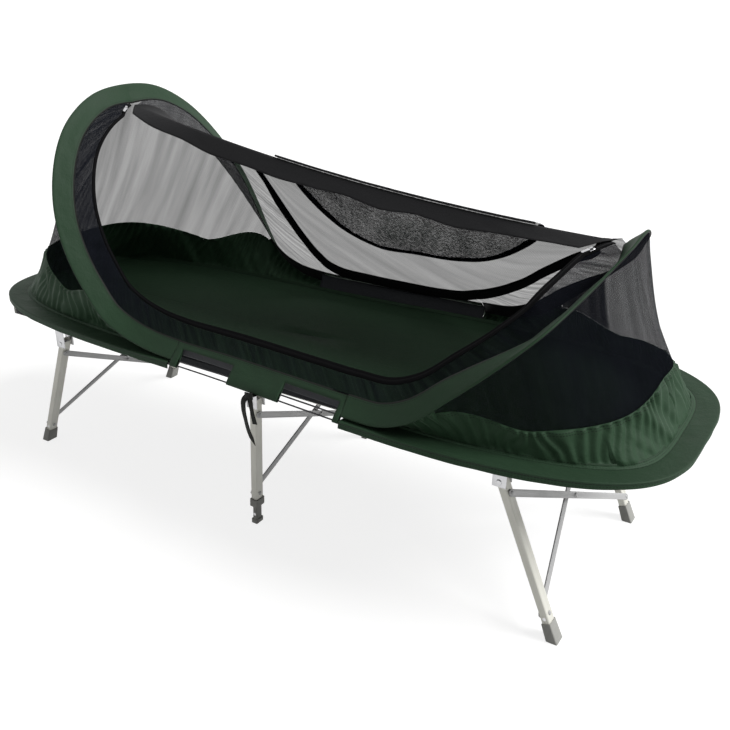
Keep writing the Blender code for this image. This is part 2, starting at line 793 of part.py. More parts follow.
def build_side_walls():
    lines = [station.line for station in NEAR_SIDE]
    cloth = [line for line in lines if wide_enough(line)]
    borders = [[line.point(0.0), line.point(line.zip / 2 - ZIP_TAPE_WIDTH / 4),
                line.point(line.zip - ZIP_TAPE_WIDTH / 2 - SEAM_GAP)] for line in cloth]
    tapes = [[line.point(line.zip - ZIP_TAPE_WIDTH / 2), line.point(line.zip + ZIP_TAPE_WIDTH / 2)]
             for line in cloth]
    for side in ("near", "far"):
        flip = side == "far"
        turn = (lambda row: [mirrored(p) for p in row]) if flip else (lambda row: row)
        sheet("border_net_" + side, [turn(row) for row in borders], NET_THICKNESS, "net")
        sheet("zip_" + side, [turn(row) for row in tapes], ZIP_THICKNESS, "black_tape")

    rows = []
    for line in cloth:
        if door_gap(line) > DOOR_LEAST_WIDTH:
            low = line.zip + ZIP_TAPE_WIDTH / 2 + SEAM_GAP
            high = strip_edge(line) - SEAM_GAP
            rows.append([mirrored(line.point(low + s * (high - low)))
                         for s in np.linspace(0.0, 1.0, 5)])
    sheet("back_door", rows, NET_THICKNESS, "net")

    near_edge = [line.point(strip_edge(line)) for line in cloth]
    middle = [line.ridge for line in cloth]
    rows = []
    for edge, top in zip(near_edge, middle):
        rows.append([edge, top, mirrored(edge)])
    sheet("ridge_strip", rows, STRIP_THICKNESS, "dark_cloth")


# Door thrown over the ridge

def door_depth(x):
    xs = [p[0] for p in DOOR_OUTLINE]
    path = Path([(px, depth, 0.0) for px, depth in DOOR_OUTLINE])
    return float(np.interp(x, path.points[:, 0], path.points[:, 1])) if xs[0] <= x <= xs[-1] else 0.0


def door_axis():
    """Straight hinge line just above the ridge strip."""
    lift = DOOR_HEM_RADIUS + STRIP_THICKNESS * 0.6 + 2 * CLEARANCE
    ends = []
    for x in (DOOR_OUTLINE[0][0] - 0.012, DOOR_OUTLINE[-1][0] + 0.012):
        share = (x - RIDGE_HEAD[0]) / (RIDGE_FOOT[0] - RIDGE_HEAD[0])
        ends.append(ridge_point(share) + np.array((0.0, 0.0, lift)))
    return ends


def build_front_door():
    start, end = door_axis()
    along = unit(end - start)
    fine = [Ruling(t) for t in np.linspace(0.05, 0.98, 300)]
    ridge_x = [line.ridge[0] for line in fine]
    rings = []
    for x in np.linspace(DOOR_OUTLINE[0][0], DOOR_OUTLINE[-1][0], 22):
        line = fine[int(np.argmin(np.abs(np.array(ridge_x) - x)))]
        down = mirrored(-line.inward)
        normal = mirrored(line.normal)
        axis = start + along * (x - start[0]) / along[0]
        depth = door_depth(x)
        lift = STRIP_THICKNESS / 2 + DOOR_CLEARANCE
        centres = []
        for share in (0.10, 0.40, 0.70, 1.0):
            reach = 0.022 + share * (depth - 0.022)
            centres.append(mirrored(line.ridge) + reach * down + lift * normal)
        half = NET_THICKNESS * 0.6
        up = np.array((0.0, 0.0, 1.0))
        side = np.array((0.0, 1.0, 0.0))
        r = DOOR_HEM_RADIUS
        bead = [axis + r * (math.cos(a) * side + math.sin(a) * up)
                for a in (math.radians(d) for d in (-75, -135, 165, 105, 45, -15))]
        ring = [c - half * normal for c in reversed(centres)] + bead
        ring += [c + half * normal for c in centres]
        rings.append(ring)
    door = loft("front_door", rings, "net")
    hinge = bpy.data.objects.new("door_hinge", None)
    bpy.context.scene.collection.objects.link(hinge)
    hinge.location = start
    bpy.context.view_layer.update()
    door.parent = hinge
    door.matrix_parent_inverse = hinge.matrix_world.inverted()


# Bed

def section(x, y, z, width, height, chamfer):
    return [(x, y + a, z + b) for a, b in rectangle(width, height, chamfer)]


def build_rails():
    """Side rails, and end bars whose plugs close the rails."""
    z = RAIL_BOTTOM + RAIL_HEIGHT / 2
    end_x = BED_LENGTH / 2 - END_CAP_LENGTH
    bore = (RAIL_WIDTH - 2 * RAIL_WALL, RAIL_HEIGHT - 2 * RAIL_WALL)
    plug = (bore[0] - 2 * CLEARANCE, bore[1] - 2 * CLEARANCE)
    rails = (("near", -RAIL_SPACING / 2), ("far", RAIL_SPACING / 2))
    for side, y in rails:
        rings = [section(x, y, z, RAIL_WIDTH, RAIL_HEIGHT, LEG_CORNER) for x in (-end_x, end_x)]
        holes = [section(x, y, z, *bore, LEG_CORNER / 2) for x in (-end_x, end_x)]
        loft("rail_" + side, rings, "aluminium", inner=holes, smooth=False)

    seat = end_x + CLEARANCE
    for end, sign in (("head", -1), ("foot", 1)):
        middle = (sign * (seat + BED_LENGTH / 2) / 2, 0.0, z)
        size = (END_BAR_WIDTH, RAIL_SPACING, END_BAR_HEIGHT)
        bar = block("end_bar_" + end, size, middle, "grey_plastic", bevel=LEG_CORNER / 2)
        for _, y in rails:
            rings = [section(sign * (end_x - END_PLUG_LENGTH), y, z, *plug, LEG_CORNER / 2),
                     section(sign * seat, y, z, *plug, LEG_CORNER / 2),
                     section(sign * seat, y, z, RAIL_WIDTH, RAIL_HEIGHT, LEG_CORNER),
                     section(sign * (BED_LENGTH / 2 - LEG_CORNER), y, z, RAIL_WIDTH, RAIL_HEIGHT,
                             LEG_CORNER),
                     section(sign * BED_LENGTH / 2, y, z, RAIL_WIDTH - 2 * LEG_CORNER,
                             RAIL_HEIGHT - 2 * LEG_CORNER, LEG_CORNER)]
            combine(bar, loft("plug", rings, "grey_plastic", smooth=False), "UNION")


def build_bed_fabric():
    """Cloth stretched over the rails, its hems drawn down their outer sides."""
    inner = RAIL_SPACING / 2 + RAIL_WIDTH / 2 + CLEARANCE
    outer = inner + FABRIC_THICKNESS
    under = RAIL_BOTTOM + RAIL_HEIGHT + CLEARANCE
    hem = RAIL_BOTTOM + HEM_RISE
    outline = [(-outer, hem), (-outer, DECK_TOP), (outer, DECK_TOP), (outer, hem),
               (inner, hem), (inner, under), (-inner, under), (-inner, hem)]
    half = BED_LENGTH / 2 - END_CAP_LENGTH - 2 * CLEARANCE
    loft("bed_fabric", [[(x, y, z) for y, z in outline] for x in (-half, half)], "dark_cloth",
         smooth=False)


def build_leg_brackets():
    """Inverted channels below the rails, each with its hinge pin riveted in."""
    inner = LEG_WIDTH / 2 + BRACKET_PLAY
    outer = inner + BRACKET_WALL
    top = RAIL_BOTTOM - CLEARANCE
    under = top - BRACKET_WALL
    low = PIN_HEIGHT - BRACKET_DROP
    outline = [(-outer, low), (-outer, top), (outer, top), (outer, low),
               (inner, low), (inner, under), (-inner, under), (-inner, low)]
    head = BRACKET_WALL / 2 + PIN_HEAD_THICKNESS
    profile = [(0.0, 0.8 * PIN_HEAD_RADIUS), (PIN_HEAD_THICKNESS / 2, PIN_HEAD_RADIUS),
               (head, PIN_HEAD_RADIUS), (head, PIN_RADIUS)]
    length = 2 * (outer + PIN_HEAD_THICKNESS)
    profile += [(length - along, radius) for along, radius in reversed(profile)]
    stations = (("head", -END_HINGE_X), ("middle", MIDDLE_HINGE_X), ("foot", END_HINGE_X))
    for end, x in stations:
        for side, y in (("near", -RAIL_SPACING / 2), ("far", RAIL_SPACING / 2)):
            ends = (x - BRACKET_LENGTH / 2, x + BRACKET_LENGTH / 2)
            rings = [[(place, y + a, z) for a, z in outline] for place in ends]
            bracket = loft("bracket_" + end + "_" + side, rings, "bright_metal", smooth=False)
            shape = bmesh.new()
            add_turned(shape, (x, y - length / 2, PIN_HEIGHT), (0, 1, 0), profile)
            combine(bracket, add_object("pin", mesh_from_bmesh("pin", shape), "bright_metal"), "UNION")


class LegFrame:
    """A pair of legs with crossed braces that folds about its hinge pins."""

    def __init__(self, label, hinge_x, lean, brace_rise):
        self.label = label
        self.hinge = np.array((hinge_x, 0.0, PIN_HEIGHT))
        self.down = np.array((math.sin(lean), 0.0, -math.cos(lean)))
        self.out = np.cross((0.0, 1.0, 0.0), self.down)
        self.length = PIN_HEIGHT / math.cos(lean)
        self.lean = abs(lean)
        self.brace_low = self.length - brace_rise

    def place(self, y, down, out):
        return self.hinge + np.array((0.0, y, 0.0)) + down * self.down + out * self.out

    def ring(self, y, down, width, depth, chamfer=LEG_CORNER):
        return [self.place(y + a, down, b) for a, b in rectangle(width, depth, chamfer)]

    def floor_ring(self, y, width, depth, chamfer=LEG_CORNER):
        ring = []
        for a, b in rectangle(width, depth, chamfer):
            ring.append(self.place(y + a, (PIN_HEIGHT + b * self.out[2]) / -self.down[2], b))
        return ring

    def name(self, piece):
        return self.label + "_" + piece

    def leg(self, side, y, end):
        rings = [self.ring(y, v, LEG_WIDTH, LEG_DEPTH) for v in (-LEG_ABOVE_PIN, end)]
        bore = (LEG_WIDTH - 2 * LEG_WALL, LEG_DEPTH - 2 * LEG_WALL)
        holes = [self.ring(y, v, *bore, LEG_CORNER / 2) for v in (-LEG_ABOVE_PIN, end)]
        leg = loft(self.name("leg_" + side), rings, "aluminium", inner=holes, smooth=False)
        rods = [(self.place(y - LEG_WIDTH, 0, 0), self.place(y + LEG_WIDTH, 0, 0),
                 PIN_RADIUS + LEG_PIN_PLAY)]
        for v in (BRACE_TOP_DROP, self.brace_low):
            rods.append((self.place(y, v, -LEG_WIDTH), self.place(y, v, LEG_WIDTH),
                         RIVET_RADIUS + CLEARANCE))
        drill(leg, rods)

    def shoe(self, side, y, leg_end):
        """Moulded shoe, a cup for the leg with its sole cut level."""
        top = self.length - SHOE_HEIGHT
        pocket = (LEG_WIDTH + 2 * CLEARANCE, LEG_DEPTH + 2 * CLEARANCE)
        rings = [self.floor_ring(y, SHOE_WIDTH, SHOE_DEPTH),
                 self.ring(y, top, SHOE_WIDTH - 2 * SHOE_TAPER, SHOE_DEPTH - 2 * SHOE_TAPER),
                 self.ring(y, top, *pocket),
                 self.ring(y, leg_end + CLEARANCE, *pocket)]
        loft(self.name("foot_" + side), rings, "grey_plastic", smooth=False)

    def extension(self, side, y, leg_end):
        """Narrow foot below a collar that holds the end of the leg."""
        pocket = (LEG_WIDTH + 2 * CLEARANCE, LEG_DEPTH + 2 * CLEARANCE)
        collar = (SHOE_WIDTH - SHOE_TAPER, SHOE_DEPTH - SHOE_TAPER)
        shank = (EXTENSION_WIDTH, EXTENSION_DEPTH)
        sole = (EXTENSION_WIDTH + 2 * SOLE_LIP, EXTENSION_DEPTH + 2 * SOLE_LIP)
        rings = [self.floor_ring(y, *sole),
                 self.ring(y, self.length - SOLE_HEIGHT, *sole),
                 self.ring(y, self.length - SOLE_HEIGHT, *shank),
                 self.ring(y, leg_end + COLLAR_FLOOR, *shank),
                 self.ring(y, leg_end + COLLAR_FLOOR, *collar),
                 self.ring(y, leg_end - COLLAR_HEIGHT, *collar),
                 self.ring(y, leg_end - COLLAR_HEIGHT, *pocket),
                 self.ring(y, leg_end + CLEARANCE, *pocket)]
        loft(self.name("foot_" + side), rings, "grey_plastic", smooth=False)

    def brace(self, letter, sign):
        """Flat bar from one leg's top to the other's foot; sign picks the face."""
        low, high = self.brace_low, BRACE_TOP_DROP
        start = np.array((-RAIL_SPACING / 2, low if sign > 0 else high))
        end = np.array((RAIL_SPACING / 2, high if sign > 0 else low))
        along = unit(end - start)
        across = np.array((-along[1], along[0]))
        out = sign * (LEG_DEPTH / 2 + CLEARANCE + BRACE_THICKNESS / 2)
        half = np.linalg.norm(end - start) / 2
        rings = []
        for place, share in ((-half - BRACE_END, 0.5), (-half - 0.45 * BRACE_END, 0.9), (-half, 1.0),
                             (half, 1.0), (half + 0.45 * BRACE_END, 0.9), (half + BRACE_END, 0.5)):
            ring = []
            for a, b in ((1, 1), (-1, 1), (-1, -1), (1, -1)):
                y, v = (start + end) / 2 + place * along + a * share * BRACE_WIDTH / 2 * across
                ring.append(self.place(y, v, out + b * BRACE_THICKNESS / 2))
            rings.append(ring)
        brace = loft(self.name("brace_" + letter), rings, "aluminium", smooth=False)
        for (y, v) in (start, end):
            self.add_stud(brace, y, v, sign)
        y, v = (start + end) / 2
        if sign > 0:
            self.add_pivot(brace, y, v)
        else:
            drill(brace, [(self.place(y, v, -LEG_WIDTH), self.place(y, v, 0),
                           PIVOT_RADIUS + CLEARANCE)])

    def add_stud(self, brace, y, v, sign):
        """Rivet fixed in the brace and headed over on the far face of the leg."""
        back = LEG_DEPTH / 2 + CLEARANCE
        front = LEG_DEPTH / 2 + CLEARANCE + BRACE_THICKNESS
        length = back + front + 2 * RIVET_HEAD_HEIGHT
        profile = [(0.0, 0.7 * RIVET_HEAD_RADIUS), (RIVET_HEAD_HEIGHT, RIVET_HEAD_RADIUS),
                   (RIVET_HEAD_HEIGHT, RIVET_RADIUS)]
        bury = RIVET_HEAD_HEIGHT + BRACE_THICKNESS / 2
        profile += [(length - bury, RIVET_RADIUS), (length - bury, RIVET_HEAD_RADIUS),
                    (length - 0.8 * RIVET_HEAD_HEIGHT, RIVET_HEAD_RADIUS),
                    (length, 0.7 * RIVET_HEAD_RADIUS)]
        shape = bmesh.new()
        add_turned(shape, self.place(y, v, -sign * (back + RIVET_HEAD_HEIGHT)), sign * self.out,
                   profile)
        combine(brace, add_object("stud", mesh_from_bmesh("stud", shape), "bright_metal"), "UNION")

    def add_pivot(self, brace, y, v):
        """Shouldered pivot that spaces the two braces where they cross."""
        front = LEG_DEPTH / 2 + CLEARANCE + BRACE_THICKNESS
        head = PIN_HEAD_THICKNESS
        total = 2 * front + 2 * head + CLEARANCE
        shoulder = head + CLEARANCE + BRACE_THICKNESS + CLEARANCE
        profile = [(0.0, 0.7 * PIN_HEAD_RADIUS), (head, PIN_HEAD_RADIUS), (head, PIVOT_RADIUS),
                   (shoulder, PIVOT_RADIUS), (shoulder, PIN_HEAD_RADIUS),
                   (total - 0.8 * head, PIN_HEAD_RADIUS), (total, 0.7 * PIN_HEAD_RADIUS)]
        shape = bmesh.new()
        add_turned(shape, self.place(y, v, -front - head - CLEARANCE), self.out, profile)
        combine(brace, add_object("pivot", mesh_from_bmesh("pivot", shape), "bright_metal"), "UNION")

    def build(self, extended=False):
        if extended:
            leg_end = self.length - EXTENSION_SHOWING
        else:
            leg_end = self.length - SHOE_SOLE - LEG_DEPTH / 2 * math.tan(self.lean)
        for side, y in (("near", -RAIL_SPACING / 2), ("far", RAIL_SPACING / 2)):
            self.leg(side, y, leg_end)
            if extended:
                self.extension(side, y, leg_end)
            else:
                self.shoe(side, y, leg_end)
        self.brace("a", 1)
        self.brace("b", -1)


# Zip sliders and tie straps

class SliderPlace:
    """Frame on the outside of a zip tape: along the track, across it and outward."""

    def __init__(self, t, far, toward):
        line, ahead = Ruling(t), Ruling(t + 0.006 * toward)
        spot, next_spot = line.point(line.zip), ahead.point(ahead.zip)
        outward = unit(np.cross(next_spot - spot, line.inward))
        if outward[1] > 0:
            outward = -outward
        if far:
            spot, next_spot, outward = mirrored(spot), mirrored(next_spot), mirrored(outward)
        self.along = unit(next_spot - spot)
        self.out = outward
        self.across = np.cross(self.out, self.along)
        self.spot = spot

    def at(self, along, across, out):
        return self.spot + along * self.along + across * self.across + out * self.out

    def box(self, low, high):
        """Corner rings of a box between two local corners, from low to high along."""
        return [[self.at(a, b, c) for b, c in ((low[1], low[2]), (high[1], low[2]),
                                               (high[1], high[2]), (low[1], high[2]))]
                for a in (low[0], high[0])]


def build_slider(label, place):
    base = ZIP_THICKNESS / 2 + SLIDER_GAP
    deck = base + SLIDER_BODY
    pin_out = base + SLIDER_HEIGHT
    name = "slider_" + label
    rings = []
    for a, half in ((-SLIDER_LENGTH / 2, 0.30), (-SLIDER_LENGTH / 4, 0.42), (SLIDER_LENGTH / 2, 0.50)):
        w = half * SLIDER_WIDTH
        rings.append([place.at(a, b, c) for b, c in ((-w, base), (w, base), (w, deck - 0.0006),
                                                     (w - 0.001, deck), (0.001 - w, deck),
                                                     (-w, deck - 0.0006))])
    slider = loft(name, rings, "bright_metal", smooth=False)
    ear = PULL_NECK / 2 + CLEARANCE
    for side in (-1, 1):
        low = (-0.0018, min(side * ear, side * (ear + EAR_WALL)), deck - 0.0005)
        high = (0.0018, max(side * ear, side * (ear + EAR_WALL)), pin_out + 0.0016)
        combine(slider, loft("ear", place.box(low, high), "bright_metal", smooth=False), "UNION")
    shape = bmesh.new()
    reach = ear + EAR_WALL / 2
    add_rod(shape, place.at(0, -reach, pin_out), place.at(0, reach, pin_out), PULL_PIN_RADIUS, 8)
    combine(slider, add_object("pin", mesh_from_bmesh("pin", shape), "bright_metal"), "UNION")

    half = PULL_THICKNESS / 2
    low = (-0.0021, -PULL_NECK / 2, pin_out - 0.0021)
    high = (0.0060, PULL_NECK / 2, pin_out + 0.0021)
    pull = loft("pull_" + label, place.box(low, high), "bright_metal", smooth=False)
    rings = []
    for a, w in ((0.0050, PULL_NECK), (0.0080, PULL_WIDTH), (PULL_LENGTH - 0.002, PULL_WIDTH),
                 (PULL_LENGTH, 0.6 * PULL_WIDTH)):
        rings.append([place.at(a, b * w / 2, pin_out + c * half)
                      for b, c in ((-1, -1), (1, -1), (1, 1), (-1, 1))])
    combine(pull, loft("blade", rings, "bright_metal", smooth=False), "UNION")
    drill(pull, [(place.at(0, -PULL_WIDTH, pin_out), place.at(0, PULL_WIDTH, pin_out),
                  PULL_PIN_RADIUS + CLEARANCE)])
    origin = place.at(0, 0, pin_out)
    pull.data.transform(Matrix.Translation(-Vector(origin)))
    pull.location = origin


def ribbon(name, path, width, thickness, finish):
    """A flat strap through points; each point may widen or shift along X."""
    rings = []
    for i, point in enumerate(path):
        ahead = np.array(path[min(i + 1, len(path) - 1)]) - np.array(path[max(i - 1, 0)])
        normal = unit(np.cross(ahead, (1.0, 0.0, 0.0)))
        side = np.array((width / 2, 0.0, 0.0))
        shift = thickness / 2 * normal
        point = np.array(point)
        rings.append([point - side - shift, point + side - shift, point + side + shift,
                      point - side + shift])
    return loft(name, rings, finish, smooth=False)


def build_tie_straps():
    """Straps knotted round the hoops at the sides and hooked below the rails."""
    half = STRAP_THICKNESS / 2
    hem = RAIL_SPACING / 2 + RAIL_WIDTH / 2 + FABRIC_THICKNESS + 2 * CLEARANCE + half
    under = RAIL_BOTTOM - CLEARANCE - half
    inside = RAIL_SPACING / 2 - RAIL_WIDTH / 2 - CLEARANCE - half
    hoop_y = base_half_width(STRAP_X)
    knot_y = hoop_y + KNOT_OUT
    below = BASE_HEIGHT - 0.0075
    loop = [(knot_y - 0.004, below), (hoop_y - 0.023, below - 0.0045),
            (hem + 0.0045, below - 0.0080), (hem, below - 0.0125),
            (hem, under + 0.0015), (hem - 0.0015, under), (inside + 0.0015, under),
            (inside, under + 0.0015), (inside, under + 0.018)]
    for side, sign in (("near", -1), ("far", 1)):
        strap = ribbon("tie_strap_" + side, [(STRAP_X, sign * y, z) for y, z in loop], STRAP_WIDTH,
                       STRAP_THICKNESS, "dark_cloth")
        for shift, low in ((-0.007, STRAP_LONG_TAIL), (0.008, STRAP_SHORT_TAIL)):
            top = below - 0.0025
            tail = [(STRAP_X + shift * share, sign * (knot_y + 0.003 - 0.004 * share),
                     top - share * (top - low)) for share in (0.0, 0.3, 0.65, 1.0)]
            combine(strap, ribbon("tail", tail, TAIL_WIDTH, STRAP_THICKNESS, "dark_cloth"), "UNION")
        shape = bmesh.new()
        bmesh.ops.create_icosphere(shape, subdivisions=1, radius=1.0)
        bmesh.ops.scale(shape, vec=(KNOT_SIZE / 2, KNOT_SIZE * 0.36, KNOT_SIZE / 2),
                        verts=shape.verts)
        bmesh.ops.translate(shape, vec=(STRAP_X, sign * knot_y, BASE_HEIGHT - 0.005), verts=shape.verts)
        combine(strap, add_object("knot", mesh_from_bmesh("knot", shape), "dark_cloth"), "UNION")


def main():
    clear_scene()
    build_rails()
    build_bed_fabric()
    build_leg_brackets()
    LegFrame("head", -END_HINGE_X, -END_SPLAY, END_BRACE_RISE).build()
    LegFrame("middle", MIDDLE_HINGE_X, -MIDDLE_SPLAY, MIDDLE_BRACE_RISE).build(extended=True)
    LegFrame("foot", END_HINGE_X, END_SPLAY, END_BRACE_RISE).build()
    build_wires()
    build_end_sleeves()
    build_side_sleeves()
    build_floor()
    build_end_walls()
    build_gussets()
    build_side_walls()
    build_front_door()
    build_slider("near_head", SliderPlace(SLIDER_HEAD, False, 1))
    build_slider("near_foot", SliderPlace(SLIDER_FOOT, False, -1))
    build_slider("far_foot", SliderPlace(SLIDER_FAR, True, -1))
    build_tie_straps()


if __name__ == "__main__":
    main()
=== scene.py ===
"""Pop-up mosquito net tent on a folding camp bed, laid out as a Blender add-on.

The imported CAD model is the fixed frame. Cloth, netting, zips and webbing are laid here over the
same curves, and the metal and moulded pieces keep their CAD shapes with the edges eased.
Metres, +Z up. +X runs to the foot end, -Y is the side with the open door.
"""
import json
import math
from contextlib import contextmanager
from functools import partial

import bmesh
import bpy
import numpy as np
from bpy.props import FloatProperty, FloatVectorProperty, PointerProperty
from mathutils import Vector
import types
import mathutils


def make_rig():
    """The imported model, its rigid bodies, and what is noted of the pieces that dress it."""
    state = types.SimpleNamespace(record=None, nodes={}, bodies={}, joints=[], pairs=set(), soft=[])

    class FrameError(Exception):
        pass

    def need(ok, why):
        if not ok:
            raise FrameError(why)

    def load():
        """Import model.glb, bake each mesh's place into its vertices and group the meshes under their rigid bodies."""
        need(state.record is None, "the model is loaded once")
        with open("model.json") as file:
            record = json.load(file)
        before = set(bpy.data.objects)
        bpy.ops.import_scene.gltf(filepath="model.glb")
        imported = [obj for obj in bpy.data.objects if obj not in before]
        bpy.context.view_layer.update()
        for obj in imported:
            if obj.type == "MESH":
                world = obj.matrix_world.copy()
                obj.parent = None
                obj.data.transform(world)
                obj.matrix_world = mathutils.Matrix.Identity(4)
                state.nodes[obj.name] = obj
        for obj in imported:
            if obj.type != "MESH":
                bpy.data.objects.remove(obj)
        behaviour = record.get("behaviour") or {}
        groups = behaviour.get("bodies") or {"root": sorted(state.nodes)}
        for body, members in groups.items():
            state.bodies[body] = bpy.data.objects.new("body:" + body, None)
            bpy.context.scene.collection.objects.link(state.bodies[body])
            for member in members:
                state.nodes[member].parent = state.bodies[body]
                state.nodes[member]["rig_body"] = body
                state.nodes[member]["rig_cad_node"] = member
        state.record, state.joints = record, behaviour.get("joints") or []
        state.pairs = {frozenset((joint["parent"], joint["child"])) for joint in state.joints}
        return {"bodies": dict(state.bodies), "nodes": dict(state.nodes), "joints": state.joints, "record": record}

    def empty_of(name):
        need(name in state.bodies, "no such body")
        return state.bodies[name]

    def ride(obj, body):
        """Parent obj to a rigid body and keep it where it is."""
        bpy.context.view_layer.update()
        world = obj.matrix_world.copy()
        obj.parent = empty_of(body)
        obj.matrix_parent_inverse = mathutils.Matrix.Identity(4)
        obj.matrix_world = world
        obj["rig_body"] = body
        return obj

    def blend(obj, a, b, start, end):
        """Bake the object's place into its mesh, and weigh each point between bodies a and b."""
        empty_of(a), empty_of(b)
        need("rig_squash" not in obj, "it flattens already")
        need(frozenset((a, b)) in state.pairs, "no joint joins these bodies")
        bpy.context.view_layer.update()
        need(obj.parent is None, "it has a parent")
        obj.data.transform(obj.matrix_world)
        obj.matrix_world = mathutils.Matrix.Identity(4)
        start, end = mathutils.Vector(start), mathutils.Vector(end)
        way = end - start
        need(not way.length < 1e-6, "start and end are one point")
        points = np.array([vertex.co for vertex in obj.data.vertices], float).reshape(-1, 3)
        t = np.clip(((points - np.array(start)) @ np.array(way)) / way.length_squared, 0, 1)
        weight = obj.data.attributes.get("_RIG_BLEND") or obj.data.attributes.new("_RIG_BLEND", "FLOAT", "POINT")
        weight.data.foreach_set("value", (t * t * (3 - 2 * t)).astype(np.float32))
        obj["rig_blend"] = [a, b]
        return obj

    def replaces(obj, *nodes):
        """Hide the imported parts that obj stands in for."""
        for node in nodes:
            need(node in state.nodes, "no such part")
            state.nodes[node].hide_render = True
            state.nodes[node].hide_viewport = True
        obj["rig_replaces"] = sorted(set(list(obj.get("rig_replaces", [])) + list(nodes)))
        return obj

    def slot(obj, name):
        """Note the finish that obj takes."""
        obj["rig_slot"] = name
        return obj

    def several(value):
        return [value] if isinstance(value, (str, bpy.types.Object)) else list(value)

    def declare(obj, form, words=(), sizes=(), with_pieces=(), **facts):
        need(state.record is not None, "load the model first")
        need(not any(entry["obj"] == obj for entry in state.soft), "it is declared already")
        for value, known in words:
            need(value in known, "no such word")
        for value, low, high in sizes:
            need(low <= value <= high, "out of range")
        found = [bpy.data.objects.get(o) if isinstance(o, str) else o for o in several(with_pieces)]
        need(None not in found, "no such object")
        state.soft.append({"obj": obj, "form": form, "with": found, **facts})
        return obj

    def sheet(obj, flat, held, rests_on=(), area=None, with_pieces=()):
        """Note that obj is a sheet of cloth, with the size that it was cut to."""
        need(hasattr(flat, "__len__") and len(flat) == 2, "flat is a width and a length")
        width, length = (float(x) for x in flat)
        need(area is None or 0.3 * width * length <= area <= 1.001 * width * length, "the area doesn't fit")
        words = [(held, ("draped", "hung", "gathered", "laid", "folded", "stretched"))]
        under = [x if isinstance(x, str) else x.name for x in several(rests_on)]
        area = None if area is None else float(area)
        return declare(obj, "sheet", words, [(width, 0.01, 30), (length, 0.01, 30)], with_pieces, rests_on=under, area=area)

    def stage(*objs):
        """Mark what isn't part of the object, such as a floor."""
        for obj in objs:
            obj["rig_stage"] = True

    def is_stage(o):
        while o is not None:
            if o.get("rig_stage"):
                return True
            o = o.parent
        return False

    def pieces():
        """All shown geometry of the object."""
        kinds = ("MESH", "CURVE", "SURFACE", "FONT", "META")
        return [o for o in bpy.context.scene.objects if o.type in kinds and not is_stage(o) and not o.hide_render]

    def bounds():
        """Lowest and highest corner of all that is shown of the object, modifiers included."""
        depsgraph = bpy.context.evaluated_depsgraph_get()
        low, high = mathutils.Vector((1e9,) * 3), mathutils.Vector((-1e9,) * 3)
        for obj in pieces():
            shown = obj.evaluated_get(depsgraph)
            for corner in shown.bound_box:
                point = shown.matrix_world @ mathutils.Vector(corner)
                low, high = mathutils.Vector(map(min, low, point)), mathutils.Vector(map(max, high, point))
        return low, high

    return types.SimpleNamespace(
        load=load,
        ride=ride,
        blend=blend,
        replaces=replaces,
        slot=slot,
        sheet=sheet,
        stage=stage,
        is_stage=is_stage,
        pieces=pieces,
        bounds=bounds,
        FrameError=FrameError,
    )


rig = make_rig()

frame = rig.load()
cad_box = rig.bounds()

bl_info = {
    "name": "Net tent on a camp bed",
    "version": (1, 0, 0),
    "blender": (4, 5, 0),
    "location": "3D View > Sidebar > Net Tent",
    "description": "Cloth, netting, metal and studio for a net tent tied onto a camp bed",
    "category": "Add Mesh",
}

# Sizes of the frame, as the solids have them

RAIL_SPACING = 0.58
RAIL_WIDTH = 0.022
RAIL_HEIGHT = 0.024
RAIL_BOTTOM = 0.443
BED_LENGTH = 1.90
END_CAP_LENGTH = 0.014
BED_CLOTH = 0.0016
HEM_RISE = 0.004
CLEARANCE = 0.0003
DECK_TOP = RAIL_BOTTOM + RAIL_HEIGHT + CLEARANCE + BED_CLOTH
LEG_WIDTH = 0.030
PIN_HEIGHT = 0.390
END_HINGE_X = 0.735
END_SPLAY = math.radians(22.4)
MIDDLE_HINGE_X = 0.020
MIDDLE_SPLAY = math.radians(2.9)
SHOE_HEIGHT = 0.050

WIRE_RADIUS = 0.0021
BASE_HALF_LENGTH = 1.105
BASE_WIDTH_KNOTS = ((-0.25, 0.378), (0.75, 0.423))
BASE_POWER = 3.6
BASE_HEIGHT = 0.482
BASE_FOOT_LIFT = -0.012
END_WALL = WIRE_RADIUS + 0.0010 + 0.0012
SIDE_WALL = WIRE_RADIUS + 0.0024 + 0.0012
BASE_SLEEVE_WIDTH = 0.060
ARCH_SLEEVE_WIDTH = 0.055
SIDE_HEAD_X = -0.195
SIDE_FOOT_X = 0.366
WINDOW_DEPTH = 0.047
GUSSET_LAP = 0.010
GUSSET_DROP = 0.0027
WINDOWS = ((-0.170, 0.010), (0.180, 0.350))
ARCH_POINTS = (
    (-0.660, 0.000, 1.127), (-0.661, -0.124, 1.111), (-0.648, -0.233, 1.054),
    (-0.602, -0.345, 0.921), (-0.559, -0.388, 0.818), (-0.515, -0.401, 0.722),
    (-0.470, -0.397, 0.637), (-0.422, -0.390, 0.568), (-0.362, -0.379, 0.527),
    (-0.290, -0.3715, 0.5035), (-0.200, -0.3695, 0.4940), (0.000, -0.3760, 0.4940),
    (0.250, -0.3900, 0.4940), (0.370, -0.3958, 0.4940), (0.4742, -0.3992, 0.4992),
    (0.5446, -0.398, 0.5282), (0.639, -0.380, 0.605), (0.736, -0.352, 0.693),
    (0.798, -0.307, 0.754), (0.838, -0.222, 0.805), (0.872, -0.128, 0.857),
    (0.897, -0.066, 0.898), (0.9057, 0.000, 0.921),
)
HEAD_BAND_TILT = math.radians(24)
FOOT_BAND_TILT = math.radians(58)
RIDGE_SAG = 0.040
RULING_KNOTS = ((0.0, 0.0), (0.39, 0.25), (0.70, 0.73), (1.0, 1.0))
SEAM_GAP = 0.0005
CLOTH_THICKNESS = 0.0012
SLEEVE_CLOTH = 0.0006
NET_CLOTH = 0.0004
TAPE_CLOTH = 0.0009
WEBBING_CLOTH = 0.0013
